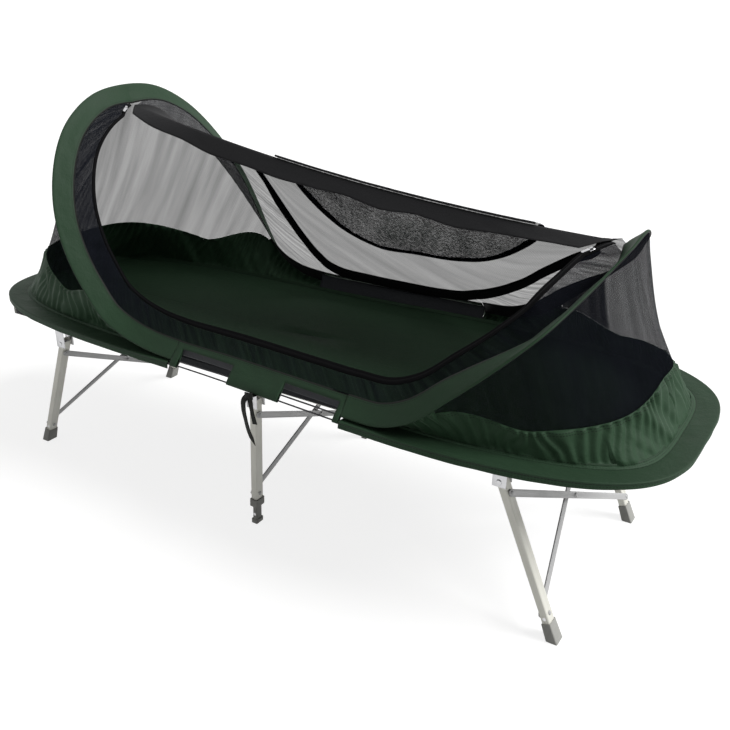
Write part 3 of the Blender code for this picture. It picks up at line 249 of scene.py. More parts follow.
STRIP_THICKNESS = 0.0016
STRIP_HALF_WIDTH = 0.070
NEAR_BORDER_KNOTS = ((0.0, 0.075), (0.06, 0.075), (0.16, 0.054), (0.30, 0.050), (0.44, 0.040),
                     (0.62, 0.040), (0.80, 0.048), (0.92, 0.062), (1.0, 0.062))
FAR_ZIP_POINTS = ((0.4185, 0.494), (0.4215, 0.400), (0.424, 0.300), (0.428, 0.190), (0.436, 0.105),
                  (0.446, 0.060), (0.463, 0.037), (0.50, 0.028), (0.55, 0.0265), (0.59, 0.0285),
                  (0.62, 0.040), (0.65, 0.072), (0.685, 0.115), (0.72, 0.135), (0.76, 0.136),
                  (0.80, 0.130), (0.835, 0.115), (0.862, 0.088), (0.882, 0.0745), (0.94, 0.0745),
                  (1.0, 0.0745))
FAR_BORDER_START = 0.455
NEAR_TAPE_KNOTS = ((0.0, 0.38), (0.30, 0.38), (0.52, 0.80), (1.0, 0.80))
ZIP_TAPE_WIDTH = 0.024
# Section of a zip in metres: across the tape, and the coil's rise above it
ZIP_STEPS = np.array((-12.0, -7.0, -3.2, -2.4, -1.3, 0.0, 1.3, 2.4, 3.2, 7.0, 12.0)) / 1000
ZIP_RISE = np.array((0.0, 0.1, 0.1, 0.5, 0.7, 0.75, 0.7, 0.5, 0.1, 0.1, 0.0)) / 1000
LEAST_REACH = 0.034   # shorter lines at the ends of the side wall carry no cloth
LEAST_WALL = 0.012    # the same for the nets and tubs of the end walls
SLEEVE_TURN_KNOTS = ((0.60, 0.0), (0.74, -0.20), (0.90, 0.72), (0.96, 0.66), (1.0, 0.14))
END_NET_SAG = 0.045
FLOOR_ROWS = (1.0, 0.975, 0.95, 0.925, 0.90, 0.88, 0.862, 0.80, 0.70, 0.56, 0.42, 0.28, 0.14,
              0.004)   # shares of the way from the middle to the rim
FLOOR_BEND = 0.86
TUB_KNOTS = ((0.0, 0.28), (0.48, 0.28), (0.80, 1.0), (1.0, 1.0))
DOOR_TURN = (0.003, 0.050)   # the netting beside the ridge that bends as the door swings
DOOR_HEM_RADIUS = 0.0035
RIPPLE = 0.0024   # waves in the ridge strip
DOOR_CLEARANCE = 0.0035
DOOR_OUTLINE = ((-0.108, 0.050), (-0.092, 0.170), (-0.030, 0.290), (0.060, 0.335),
                (0.200, 0.320), (0.350, 0.297), (0.490, 0.230), (0.590, 0.140), (0.650, 0.050))
STRAP_X = 0.098
STRAP_WIDTH = 0.022
TAIL_WIDTH = 0.016
KNOT_OUT = 0.0150
STRAP_HALF = 0.0007
STRAP_STEP = 0.003
# Each tail: x from the strap, distance out from the knot and height
LONG_TAIL = ((-0.004, 0.004, 0.476), (-0.011, 0.0075, 0.466), (-0.013, 0.009, 0.444),
             (-0.009, 0.008, 0.411), (-0.001, 0.006, 0.374), (0.014, 0.004, 0.341))
SHORT_TAIL = ((0.004, 0.003, 0.476), (0.008, 0.006, 0.462), (0.012, 0.006, 0.436),
              (0.018, 0.005, 0.404))
TAIL_TURN = (0.0, 0.25, 0.1)
RIVET_DEPTH = 0.0022
RIVET_DOME = 0.0014
# The camera as fitted to the photograph, focal length and width in pixels
CAMERA_PLACE = (1.3684, -1.8652, 1.4402)
CAMERA_WAY = (-0.4879, 0.7666, -0.4175)
FOCAL_LENGTH = 862.43
PICTURE_WIDTH = 730.0
SENSOR_WIDTH = 36.0
UP = np.array((0.0, 0.0, 1.0))
DOOR_UP = np.array((0.0, 0.3, 1.0))


# Settings a user would change

def linear(hex_colour):
    """An sRGB hex value as linear red, green and blue."""
    parts = [int(hex_colour[i:i + 2], 16) / 255 for i in (1, 3, 5)]
    return tuple(c / 12.92 if c <= 0.04045 else ((c + 0.055) / 1.055) ** 2.4 for c in parts)


def colour(name, hex_colour, description):
    return FloatVectorProperty(name=name, description=description, subtype="COLOR", size=3,
                               min=0.0, max=1.0, default=linear(hex_colour))


def length(name, default, description):
    return FloatProperty(name=name, description=description, unit="LENGTH", min=0.0, soft_max=0.2,
                         precision=4, default=default)


class TentSizes(bpy.types.PropertyGroup):
    binding: length("Binding", 0.0050, "Width of the dark binding on a sleeve's inner edge")
    stitch_pitch: length("Stitch pitch", 0.0070, "Distance from one stitch to the next")
    skirt: length("Base skirt", 0.014, "Hem allowance below the base sleeve")
    sleeve_wrinkle: length("Sleeve wrinkle", 0.0016, "Height of the small wrinkles in the sleeves")
    pleat_pitch: length("Pleat pitch", 0.030, "Distance between the gathers below the tub seam")
    pleat_depth: length("Pleat depth", 0.0046, "Depth of the gathers below the tub seam")
    fold_depth: length("Fold depth", 0.0090, "Depth of the long folds in the tub cloth")
    net_wrinkle: length("Net wrinkle", 0.0018, "Height of the wrinkles in the stretched netting")
    crumple: length("Door crumple", 0.0100, "Height of the folds in the thrown door")
    zip_flap: length("Zip flap", 0.022, "Width of the cover strip inside the far zip")
    edge_tape: length("Edge tape", 0.014, "Width of the zip tape round the open door")
    net_hole: length("Net hole", 0.0060, "Spacing of the net's drawn threads")


class TentColours(bpy.types.PropertyGroup):
    green: colour("Green cloth", "#263D2A", "Sleeves and tubs")
    binding: colour("Binding", "#10130F", "Binding tape along the sleeves")
    grey: colour("Grey cloth", "#34363A", "Inner walls and bed cloth")
    strip: colour("Ridge strip", "#121214", "Cloth along the ridge")
    thread: colour("Net thread", "#1A1C22", "Mosquito netting")
    tape: colour("Zip tape", "#070708", "Zip tapes and door edge")
    webbing: colour("Webbing", "#131512", "Tie straps")


class BedSizes(bpy.types.PropertyGroup):
    edge: length("Tube edge", 0.0012, "Rounding on the tube and moulding edges")
    rivet: length("Rivet head", 0.0042, "Radius of the rivet heads on the legs")
    flap: length("End flap", 0.040, "Drop of the bed cloth over the end bars")


class BedColours(bpy.types.PropertyGroup):
    aluminium: colour("Aluminium", "#F0EFE5", "Legs and rails")
    brace: colour("Brace", "#C2C2C2", "Cross braces")
    plastic: colour("Plastic", "#A9A9A4", "Feet and end bars")
    steel: colour("Spring steel", "#3A3A3C", "Hoops")
    plated: colour("Plated metal", "#C9C9CB", "Sliders, brackets and rivets")


class StudioSettings(bpy.types.PropertyGroup):
    floor: colour("Floor", "#A2A2A1", "Floor paper, before its glow")
    key: FloatProperty(name="Key light", description="Strength of the key light, in W/m2",
                       default=3.0, min=0.0)
    fill: FloatProperty(name="Fill light", description="Power of the fill light", unit="POWER",
                        default=5.0, min=0.0)
    ambient: FloatProperty(name="Ambient", description="Light from all round", default=0.12,
                           min=0.0, soft_max=1.0)
    paper: FloatProperty(name="Paper glow", description="How far the floor is lifted to white",
                         default=0.82, min=0.0, max=1.0)


def settings(group):
    return getattr(bpy.context.scene, group)


# Curves of the tent

def even(count):
    """Even steps from 0 to 1, both ends included."""
    return np.linspace(0.0, 1.0, count)


def unit(vectors):
    return vectors / np.linalg.norm(vectors, axis=-1, keepdims=True)


def dot(first, second):
    return (first * second).sum(axis=-1, keepdims=True)


def mirrored(points):
    return points * np.array((1.0, -1.0, 1.0))


def eased(share):
    """A share from 0 to 1 that leaves and arrives gently."""
    return share * share * (3 - 2 * share)


def smooth_knots(values, knots):
    """Smooth steps between (place, value) knots."""
    places, heights = np.array(knots).T
    i = np.clip(np.searchsorted(places, values, side="left") - 1, 0, len(places) - 2)
    s = np.clip((values - places[i]) / (places[i + 1] - places[i]), 0.0, 1.0)
    return heights[i] + (heights[i + 1] - heights[i]) * eased(s)


class Curve:
    """A smooth curve through points, read by its share of the length."""

    def __init__(self, points, closed=False, steps=20):
        points = [np.array(p, dtype=float) for p in points]
        count = len(points)
        dense = []
        for i in range(count if closed else count - 1):
            a, b = points[i], points[(i + 1) % count]
            before = points[i - 1] if closed or i > 0 else 2 * a - b
            after = points[(i + 2) % count] if closed or i + 2 < count else 2 * b - a
            chords = [np.linalg.norm(q - p) for p, q in ((before, a), (a, b), (b, after))]
            start = self.slope(before, a, b, chords[0], chords[1]) * chords[1]
            end = self.slope(a, b, after, chords[1], chords[2]) * chords[1]
            for s in np.linspace(0.0, 1.0, steps, endpoint=False):
                s2, s3 = s * s, s * s * s
                dense.append((2 * s3 - 3 * s2 + 1) * a + (s3 - 2 * s2 + s) * start
                             + (3 * s2 - 2 * s3) * b + (s3 - s2) * end)
        dense.append(points[0] if closed else points[-1])
        self.keep(np.array(dense))

    @staticmethod
    def slope(before, here, after, chord_in, chord_out):
        arriving, leaving = (here - before) / chord_in, (after - here) / chord_out
        return (arriving * chord_out + leaving * chord_in) / (chord_in + chord_out)

    def keep(self, points):
        self.points = points
        steps = np.linalg.norm(np.diff(points, axis=0), axis=1)
        self.marks = np.concatenate(([0.0], np.cumsum(steps)))
        self.length = self.marks[-1]

    def at(self, share):
        place = np.asarray(share) * self.length
        return np.stack([np.interp(place, self.marks, self.points[:, k]) for k in range(3)], -1)

    def tangent(self, share, step=0.004):
        return unit(self.at(np.minimum(1.0, share + step)) - self.at(np.maximum(0.0, share - step)))

    def share_at_x(self, x):
        return float(np.interp(x, self.points[:, 0], self.marks)) / self.length


def arch_curve():
    """Near half of the closed arch hoop, from the head apex to the foot tip."""
    near = list(ARCH_POINTS)
    far = [mirrored(np.array(p)) for p in reversed(ARCH_POINTS[1:-1])]
    whole = Curve(near + far, closed=True)
    half = Curve(near, steps=2)
    half.keep(whole.points[:20 * (len(near) - 1) + 1])
    return half


ARCH = arch_curve()


def ridge_end(point, tilt, side):
    reach = ARCH_SLEEVE_WIDTH + SEAM_GAP
    return np.array(point) + reach * np.array((side * math.sin(tilt), 0.0, -math.cos(tilt)))


RIDGE_HEAD = ridge_end(ARCH_POINTS[0], HEAD_BAND_TILT, 1)
RIDGE_FOOT = ridge_end(ARCH_POINTS[-1], FOOT_BAND_TILT, -1)
FAR_ZIP = Curve([(t, distance, 0.0) for t, distance in FAR_ZIP_POINTS])
RULING_CURVE = Curve([(t, share, 0.0) for t, share in RULING_KNOTS])


def ridge_point(share):
    share = np.asarray(share, dtype=float)[..., None]
    sag = 4 * RIDGE_SAG * share * (1 - share)
    return RIDGE_HEAD + share * (RIDGE_FOOT - RIDGE_HEAD) - sag * UP


class Rulings:
    """Lines of the near side wall, each from the arch hoop in to the ridge."""

    def __init__(self, t):
        self.t = t = np.asarray(t, dtype=float)
        self.hoop = ARCH.at(t)
        self.along = ARCH.tangent(t)
        self.along[t <= 0.0] = (0.0, -1.0, 0.0)
        self.along[t >= 1.0] = (0.0, 1.0, 0.0)
        share = np.interp(t, RULING_CURVE.points[:, 0], RULING_CURVE.points[:, 1])
        self.ridge = ridge_point(share)
        inward = self.ridge - self.hoop
        self.band = unit(inward - dot(inward, self.along) * self.along)
        self.normal = np.cross(self.along, self.band)
        self.seam = self.hoop + (ARCH_SLEEVE_WIDTH + SEAM_GAP) * self.band
        self.reach = np.linalg.norm(self.ridge - self.seam, axis=1)
        self.inward = (self.ridge - self.seam) / np.maximum(self.reach, 1e-9)[:, None]
        half_tape = ZIP_TAPE_WIDTH / 2 + SEAM_GAP
        self.strip = np.minimum(STRIP_HALF_WIDTH, (self.reach - 2 * half_tape) / 2)
        inner = self.reach - self.strip - half_tape
        far = np.interp(t, FAR_ZIP.points[:, 0], FAR_ZIP.points[:, 1])
        far = np.where(t < FAR_ZIP_POINTS[0][0], self.reach, far)
        self.zip = {"near": np.minimum(smooth_knots(t, NEAR_BORDER_KNOTS) + half_tape, inner),
                    "far": np.minimum(far, inner)}
        self.tape = {"near": smooth_knots(t, NEAR_TAPE_KNOTS), "far": np.ones_like(t)}

    def sleeve(self):
        """The sleeve's band and normal; near the foot tip the end net turns it inward."""
        turn = smooth_knots(self.t, SLEEVE_TURN_KNOTS)[:, None]
        return (np.cos(turn) * self.band - np.sin(turn) * self.normal,
                np.cos(turn) * self.normal + np.sin(turn) * self.band)

    def keep(self, chosen):
        return Rulings(self.t[chosen])

    def rows(self, distances):
        """Grid of points, one row for each line, at these distances in from the seam."""
        return self.seam[:, None] + distances[..., None] * self.inward[:, None]


def base_half_width(x):
    """The base hoop spreads towards the foot."""
    return smooth_knots(x, BASE_WIDTH_KNOTS)


def base_height(x):
    """The base hoop sinks a little towards its foot tip."""
    return BASE_HEIGHT + BASE_FOOT_LIFT * np.maximum(0.0, x / BASE_HALF_LENGTH) ** 3


def base_points(angles, inset=0.0):
    c, s = np.cos(angles), np.sin(angles)
    share = 2.0 / BASE_POWER
    x = BASE_HALF_LENGTH * np.sign(c) * np.abs(c) ** share
    width = base_half_width(x)
    y = width * np.sign(s) * np.abs(s) ** share
    points = np.stack((x, y, base_height(x)), -1)
    if inset:
        power = BASE_POWER - 1
        slope_x = np.sign(x) * np.abs(x / BASE_HALF_LENGTH) ** power / BASE_HALF_LENGTH
        slope_y = np.sign(y) * np.abs(y / width) ** power / width
        points = points - inset * unit(np.stack((slope_x, slope_y, np.zeros_like(x)), -1))
    return points


def base_quarter(end_x, inset=0.0):
    """Near side of the base outline, from the side at end_x round to that end's tip."""
    first, last = (1.5 * math.pi, 2.0 * math.pi) if end_x > 0 else (1.5 * math.pi, math.pi)
    points = base_points(first + (last - first) * even(400), inset)
    return Curve(points[np.abs(points[:, 0]) >= abs(end_x)], steps=1)


class Stations:
    """Rulings along the near side with the base hoop's wire and seam below each."""

    def __init__(self, t, base, inner):
        self.line = Rulings(t)
        self.base = base
        self.inner = inner
        self.share = even(len(base))


def end_stations(count, junction_x, tip_t):
    junction = ARCH.share_at_x(junction_x)
    shares = even(count + 1)
    return Stations(tip_t + shares * (junction - tip_t), base_quarter(junction_x).at(1.0 - shares),
                    base_quarter(junction_x, BASE_SLEEVE_WIDTH).at(1.0 - shares))


def side_stations(places):
    share = (1.0 - np.abs(places / BASE_HALF_LENGTH) ** BASE_POWER) ** (1.0 / BASE_POWER)
    wire = np.stack((places, -base_half_width(places) * share, base_height(places)), -1)
    inner = wire + np.array((0.0, BASE_SLEEVE_WIDTH, 0.0))
    return Stations([ARCH.share_at_x(x) for x in places], wire, inner)


HEAD = end_stations(360, SIDE_HEAD_X, 0.0)
FOOT = end_stations(320, SIDE_FOOT_X, 1.0)


def round_end(values, flip=True):
    """Values from the near junction over the end's tip to the far junction."""
    far = mirrored(values[1:]) if flip else values[1:]
    return np.concatenate((values[::-1], far))


# Cloth

def travelled(points):
    """Distance along each line of points, which run along the first axis."""
    steps = np.linalg.norm(np.diff(points, axis=0), axis=-1)
    return np.concatenate((np.zeros((1, *steps.shape[1:])), np.cumsum(steps, axis=0)))


def soft_noise(x, y, seed):
    """Smooth noise between -1 and 1 with about one hump for each unit."""
    table = np.random.default_rng(seed).uniform(-1.0, 1.0, (64, 64))
    x, y = np.broadcast_arrays(np.asarray(x, dtype=float), np.asarray(y, dtype=float))
    i, j = np.floor(x).astype(int), np.floor(y).astype(int)
    fx, fy = eased(x - i), eased(y - j)
    near = table[i % 64, j % 64] * (1 - fx) + table[(i + 1) % 64, j % 64] * fx
    far = table[i % 64, (j + 1) % 64] * (1 - fx) + table[(i + 1) % 64, (j + 1) % 64] * fx
    return near * (1 - fy) + far * fy


def fade(depth, near=0.2, far=0.2):
    """Nothing at 0 and 1, full between; depth runs across a cloth."""
    return eased(np.clip(depth / near, 0.0, 1.0) * np.clip((1.0 - depth) / far, 0.0, 1.0))


def surface_normals(grid, outward):
    """Unit normals of a grid of points, on the side that outward points to."""
    normals = np.cross(np.gradient(grid, axis=0), np.gradient(grid, axis=1))
    normals = normals / np.maximum(np.linalg.norm(normals, axis=-1, keepdims=True), 1e-12)
    return normals * np.where(dot(normals, outward) < 0.0, -1.0, 1.0)


def face_list(rows, columns, kept=None, ring=False):
    faces = []
    for r in range(rows - 1):
        for c in range(columns if ring else columns - 1):
            if kept is None or kept[r, c]:
                d = (c + 1) % columns
                faces.append((r * columns + c, r * columns + d, (r + 1) * columns + d,
                              (r + 1) * columns + c))
    return faces


@contextmanager
def editing(mesh):
    """Work on a mesh as a bmesh, and write it back at the end."""
    shape = bmesh.new()
    shape.from_mesh(mesh)
    yield shape
    shape.to_mesh(mesh)
    shape.free()


def add_object(name, data):
    """A new object in the scene."""
    thing = bpy.data.objects.new(name, data)
    bpy.context.scene.collection.objects.link(thing)
    return thing


def lay_cloth(name, grid, finish, thickness, outward, slot, *nodes, hem=None, kept=None,
              offset=0.0, swings=False, far=False):
    """A sheet through a grid of points, with its UV map in metres along and across.

    A sheet of the far side is given by its near twin's points and mirrored.
    """
    if far:
        grid, outward = mirrored(grid), mirrored(outward)
    rows, columns = grid.shape[:2]
    faces = face_list(rows, columns, kept)
    middle = surface_normals(grid, outward)
    turned = np.cross(np.gradient(grid, axis=0), np.gradient(grid, axis=1))
    if dot(turned, middle).sum() > 0.0:
        faces = [tuple(reversed(face)) for face in faces]
    mesh = bpy.data.meshes.new(name)
    mesh.from_pydata(grid.reshape(-1, 3).tolist(), [], faces)
    along = travelled(grid).mean(axis=1)[:, None] + np.zeros((rows, columns))
    across = travelled(np.swapaxes(grid, 0, 1)).T
    flat = np.stack((along, across), -1).reshape(-1, 2)
    uv = mesh.uv_layers.new(name="cloth")
    corners = np.zeros(len(mesh.loops), dtype=int)
    mesh.loops.foreach_get("vertex_index", corners)
    uv.data.foreach_set("uv", flat[corners].ravel())
    distance = mesh.attributes.new("hem", "FLOAT", "POINT")
    values = np.full((rows, columns), 1.0) if hem is None else hem + np.zeros((rows, columns))
    distance.data.foreach_set("value", values.ravel())
    piece = add_object(name, mesh)
    with editing(mesh) as used:
        loose = [v for v in used.verts if not v.link_faces]
        bmesh.ops.delete(used, geom=loose, context="VERTS")
    mesh.materials.append(material(finish))
    mesh.shade_smooth()
    wall = piece.modifiers.new("Thickness", "SOLIDIFY")
    wall.thickness = thickness
    wall.offset = offset
    return seat(piece, slot, *nodes, swings=swings)


def seat(piece, slot, *nodes, body="bed_and_tent", swings=False):
    """Fix a finished piece to its body, slot and the solids that it stands for.

    A piece that swings keeps its top edge on the ridge and turns with the door below it.
    """
    if swings:
        start, end = (ridge_point(0.5) + (0.0, out, 0.0) for out in DOOR_TURN)
        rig.blend(piece, body, "front_door", start=start, end=end)
    else:
        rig.ride(piece, body)
    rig.slot(piece, slot)
    if nodes:
        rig.replaces(piece, *nodes)
    return piece


def declare(piece, grid, held, rests_on, with_pieces=(), kept=None, flat=None):
    """Declare a sheet by the size of its cut: its longest lines and its area."""
    a, b = grid[1:, 1:] - grid[:-1, :-1], grid[1:, :-1] - grid[:-1, 1:]
    cells = np.linalg.norm(np.cross(a, b), axis=-1) / 2
    area = float((cells if kept is None else cells * kept).sum())
    width, run = flat or (float(travelled(np.swapaxes(grid, 0, 1))[-1].max()),
                          float(travelled(grid)[-1].max()))
    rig.sheet(piece, flat=(round(width, 3), round(run, 3)), held=held, rests_on=rests_on,
             area=round(min(area, width * run), 4), with_pieces=list(with_pieces))


# Materials

# Pattern pitches as drawn; the docstrings give the real ones
YARN = 0.0020
COIL = 0.0032
COIL_HALF_WIDTH = 0.0030
TWILL = 0.0022
RIB = 0.0040
PICK = 0.0025
STITCH_HALF_WIDTH = 0.0009


def fill(node, inputs):
    """Give a node's inputs values or links; a colour may leave out its alpha."""
    for socket, value in inputs.items():
        place = node.inputs[socket]
        if isinstance(value, bpy.types.NodeSocket):
            node.id_data.links.new(value, place)
        elif place.type == "RGBA":
            place.default_value = (*value, 1.0)
        else:
            place.default_value = value


def add_node(tree, kind, inputs=None, output=0, **options):
    """A node with its options set and its inputs filled; gives back one of its outputs."""
    node = tree.nodes.new("ShaderNode" + kind)
    for option, value in options.items():
        setattr(node, option, value)
    fill(node, inputs or {})
    return node.outputs[output]


def new_material(name, roughness, **more):
    """A material, the function that adds nodes to it, and its shader."""
    new = bpy.data.materials.new(name)
    new.use_nodes = True
    shader = new.node_tree.nodes["Principled BSDF"]
    fill(shader, {"Roughness": roughness})
    fill(shader, {socket.replace("_", " "): value for socket, value in more.items()})
    return new, partial(add_node, new.node_tree), shader


def wave(add, value, pitch):
    """A sine of a distance, from 0 to 1, that repeats at the pitch."""
    turned = add("Math", {0: value, 1: 2 * math.pi / pitch}, operation="MULTIPLY")
    sine = add("Math", {0: turned}, operation="SINE")
    return add("Math", {0: sine, 1: 0.5, 2: 0.5}, operation="MULTIPLY_ADD")


def cloth_sockets(add):
    """UV map split into distance along and across, and the distance to the hem."""
    uv = add("UVMap", uv_map="cloth")
    along, across = (add("SeparateXYZ", {0: uv}, axis) for axis in (0, 1))
    return uv, along, across, add("Attribute", output="Fac", attribute_name="hem")


def scaled(values, factor):
    return tuple(min(1.0, v * factor) for v in values)


def taffeta(name, base, roughness, stitches=(), binding=None):
    """Polyester taffeta, plain woven from flat yarn, dyed and coated on its back.

    The flat yarn gives a dull sheen, and the coating holds small sharp crinkles. The yarn is
    0.2 mm wide and is drawn at 2 mm so that it shows.
    """
    cloth, add, shader = new_material(name, roughness, Sheen_Weight=0.03, Sheen_Roughness=0.45,
                                      Specular_IOR_Level=0.18)
    uv, along, across, hem = cloth_sockets(add)
    sizes = settings("tent_sizes")
    patches = add("TexNoise", {"Vector": uv, "Scale": 7.0, "Detail": 3.0})
    yarn = add("Math", {0: wave(add, along, YARN), 1: wave(add, across, YARN)},
               operation="MULTIPLY")
    height = add("Math", {0: yarn, 1: 0.25}, operation="MULTIPLY")
    tint = add("Mix", {0: patches, 6: scaled(base, 0.86), 7: scaled(base, 1.16)}, 2,
               data_type="RGBA")
    tint = add("Mix", {0: add("Math", {0: yarn, 1: 0.18}, operation="MULTIPLY"), 6: tint,
                       7: scaled(base, 0.6)}, 2, data_type="RGBA")
    dash = add("Math", {0: wave(add, along, sizes.stitch_pitch), 1: 0.36},
               operation="GREATER_THAN")
    sewn = 0.0
    for place in stitches:
        off = add("Math", {0: hem, 1: place}, operation="SUBTRACT")
        off = add("Math", {0: off}, operation="ABSOLUTE")
        row = add("Math", {0: off, 1: STITCH_HALF_WIDTH}, operation="LESS_THAN")
        row = add("Math", {0: dash, 1: row}, operation="MULTIPLY")
        sewn = add("Math", {0: row, 1: sewn}, operation="MAXIMUM")
    if stitches:
        tint = add("Mix", {0: sewn, 6: tint, 7: scaled(base, 0.30)}, 2, data_type="RGBA")
        height = add("Math", {0: height, 1: sewn}, operation="SUBTRACT")
    if binding:
        bound = add("Math", {0: hem, 1: sizes.binding}, operation="LESS_THAN")
        tint = add("Mix", {0: bound, 6: tint, 7: binding}, 2, data_type="RGBA")
        height = add("Math", {0: bound, 1: 0.6, 2: height}, operation="MULTIPLY_ADD")
    crinkle = add("TexNoise", {"Vector": uv, "Scale": 55.0, "Detail": 5.0, "Roughness": 0.6})
    rough = add("Bump", {"Height": crinkle, "Strength": 0.45, "Distance": 0.0030})
    fine = add("Bump", {"Height": height, "Strength": 0.6, "Distance": 0.0003, "Normal": rough})
    dull = add("MapRange", {0: patches, 3: roughness - 0.07, 4: roughness + 0.07})
    fill(shader, {"Base Color": tint, "Roughness": dull, "Normal": fine})
    return cloth


def mosquito_net(name, cover, layers=1, streaks=(14.0, 2.0, 0.0), depth=0.05, ramp=None):
    """Warp-knitted polyester mesh with 1.2 mm holes, heat set.

    The eye sees through it as through smoke, and wrinkles show only as faint darker streaks.
    Each face of the net hides the share given as cover. The threads are drawn 6 mm apart, and
    a second layer is turned a little, which gives the moire of doubled net. Streaks gives the
    folds for each metre along and across and their slant, depth how far they darken the net.
    Ramp gathers the net closer: start and end in metres along, and the cover added at each.
    """
    net, add, shader = new_material(name, 0.95, Specular_IOR_Level=0.0)
    thread = tuple(settings("tent_colours").thread)
    uv, along, across, _ = cloth_sockets(add)
    threads = 0.0
    for layer in range(layers):
        skewed = add("VectorRotate", {"Vector": uv, "Angle": 0.12 * layer})
        pitch = settings("tent_sizes").net_hole * (1 + 0.08 * layer)
        knit = add("Math", {axis: wave(add, add("SeparateXYZ", {0: skewed}, axis), pitch)
                            for axis in (0, 1)}, operation="MAXIMUM")
        threads = add("Math", {0: knit, 1: threads}, operation="ADD")
    slanted = add("Math", {0: across, 1: streaks[2], 2: along}, operation="MULTIPLY_ADD")
    lines = add("CombineXYZ", {
        0: add("Math", {0: slanted, 1: streaks[0]}, operation="MULTIPLY"),
        1: add("Math", {0: across, 1: streaks[1]}, operation="MULTIPLY")})
    folds = add("TexNoise", {"Vector": lines, "Scale": 1.0, "Detail": 3.0})
    fine = add("TexNoise", {"Vector": uv, "Scale": 110.0, "Detail": 2.0})
    hidden = add("MapRange", {0: folds, 1: 0.35, 2: 0.75, 3: cover - depth, 4: cover + depth})
    crowd = add("MapRange", {0: fine, 1: 0.35, 2: 0.65, 4: 0.30 * (layers - 1)})
    hidden = add("Math", {0: threads, 1: 0.05 / layers, 2: hidden}, operation="MULTIPLY_ADD")
    hidden = add("Math", {0: hidden, 1: crowd}, operation="ADD")
    if ramp:
        closer = add("MapRange", {0: along, **dict(enumerate(ramp, 1))})
        hidden = add("Math", {0: hidden, 1: closer}, operation="ADD")
    mist = add("TexNoise", {"Vector": uv, "Scale": 11.0, "Detail": 3.0})
    tint = add("Mix", {0: mist, 6: scaled(thread, 0.8), 7: scaled(thread, 1.25)}, 2,
               data_type="RGBA")
    fill(shader, {"Base Color": tint,
                  "Alpha": add("Math", {0: hidden, 1: 0.97}, operation="MINIMUM")})
    return net


def coil_zip(name):
    """Nylon coil zip on woven polyester tape.

    A dull tape with a shinier ribbed coil along its middle. The coil's 1.6 mm pitch is drawn
    at 3.2 mm.
    """
    zipped, add, shader = new_material(name, 0.7, Specular_IOR_Level=0.05)
    tape = tuple(settings("tent_colours").tape)
    _, along, across, hem = cloth_sockets(add)
    coil = add("Math", {0: hem, 1: COIL_HALF_WIDTH}, operation="LESS_THAN")
    ribs = add("Math", {0: wave(add, along, COIL), 1: coil}, operation="MULTIPLY")
    twill = wave(add, add("Math", {0: along, 1: across}, operation="ADD"), TWILL)
    tint = add("Mix", {0: twill, 6: tape, 7: scaled(tape, 1.5)}, 2, data_type="RGBA")
    tint = add("Mix", {0: coil, 6: tint, 7: scaled(tape, 1.8)}, 2, data_type="RGBA")
    height = add("Math", {0: twill, 1: 0.2, 2: ribs}, operation="MULTIPLY_ADD")
    fill(shader, {"Base Color": tint,
                  "Roughness": add("MapRange", {0: coil, 3: 0.75, 4: 0.45}),
                  "Normal": add("Bump", {"Height": height, "Strength": 0.7,
                                         "Distance": 0.0006})})
    return zipped


def ribbed_webbing(name):
    """Woven polypropylene webbing with lengthways ribs, each crest painted lighter as a highlight and each groove
    darker as painted shade.

    Its 2 mm ribs and 1.2 mm picks are drawn at twice that.
    """
    webbing, add, shader = new_material(name, 0.6, Specular_IOR_Level=0.15)
    base = tuple(settings("tent_colours").webbing)
    _, along, across, _ = cloth_sockets(add)
    ribs = wave(add, across, RIB)
    height = add("Math", {0: wave(add, along, PICK), 1: 0.35, 2: ribs},
                 operation="MULTIPLY_ADD")
    # The rib wave also sets the colour: painted highlight on each crest, painted shade in each groove
    fill(shader, {"Base Color": add("Mix", {0: ribs, 6: scaled(base, 0.6), 7: scaled(base, 1.7)},
                                    2, data_type="RGBA"),
                  "Normal": add("Bump", {"Height": height, "Strength": 0.7,
                                         "Distance": 0.0006})})
    return webbing


def extruded_aluminium(name, base, tilt_y=0.0, tilt_x=0.0, roughness=0.42):
    """Extruded aluminium tube, satin anodised.

    Faint die lines run along the tube under a milky, slightly warm film, with a few scuffs.
    """
    tube, add, shader = new_material(name, roughness, Metallic=0.20)
    place = add("TexCoord", output="Object")
    turned = add("Mapping", {"Vector": place, "Rotation": (tilt_x, tilt_y, 0.0)})
    drawn = add("VectorMath", {0: turned, 1: (320.0, 320.0, 3.0)}, operation="MULTIPLY")
    lines = add("TexNoise", {"Vector": drawn, "Scale": 1.0, "Detail": 3.0})
    clouds = add("TexNoise", {"Vector": place, "Scale": 14.0, "Detail": 4.0})
    tint = add("Mix", {0: lines, 6: scaled(base, 0.90), 7: scaled(base, 1.05)}, 2,
               data_type="RGBA")
    scuffs = add("Math", {0: clouds, 1: 0.35}, operation="MULTIPLY")
    tint = add("Mix", {0: scuffs, 6: tint, 7: scaled(base, 0.80)}, 2, data_type="RGBA")
    fill(shader, {"Base Color": tint,
                  "Roughness": add("MapRange", {0: clouds, 1: 0.3, 2: 0.7, 3: roughness - 0.08,
                                                4: roughness + 0.10}),
                  "Normal": add("Bump", {"Height": lines, "Strength": 0.25,
                                         "Distance": 0.0003})})
    return tube


def moulded_plastic(name, base):
    """Injection moulded polypropylene: fine spark texture and a tone that varies in soft patches."""
    plastic, add, shader = new_material(name, 0.5, Specular_IOR_Level=0.45)
    place = add("TexCoord", output="Object")
    spark = add("TexNoise", {"Vector": place, "Scale": 700.0, "Detail": 2.0})
    dirt = add("TexNoise", {"Vector": place, "Scale": 30.0, "Detail": 4.0})
    fill(shader, {"Base Color": add("Mix", {0: dirt, 6: scaled(base, 0.86),
                                            7: scaled(base, 1.10)}, 2, data_type="RGBA"),
                  "Normal": add("Bump", {"Height": spark, "Strength": 0.3,
                                         "Distance": 0.0003})})
    return plastic


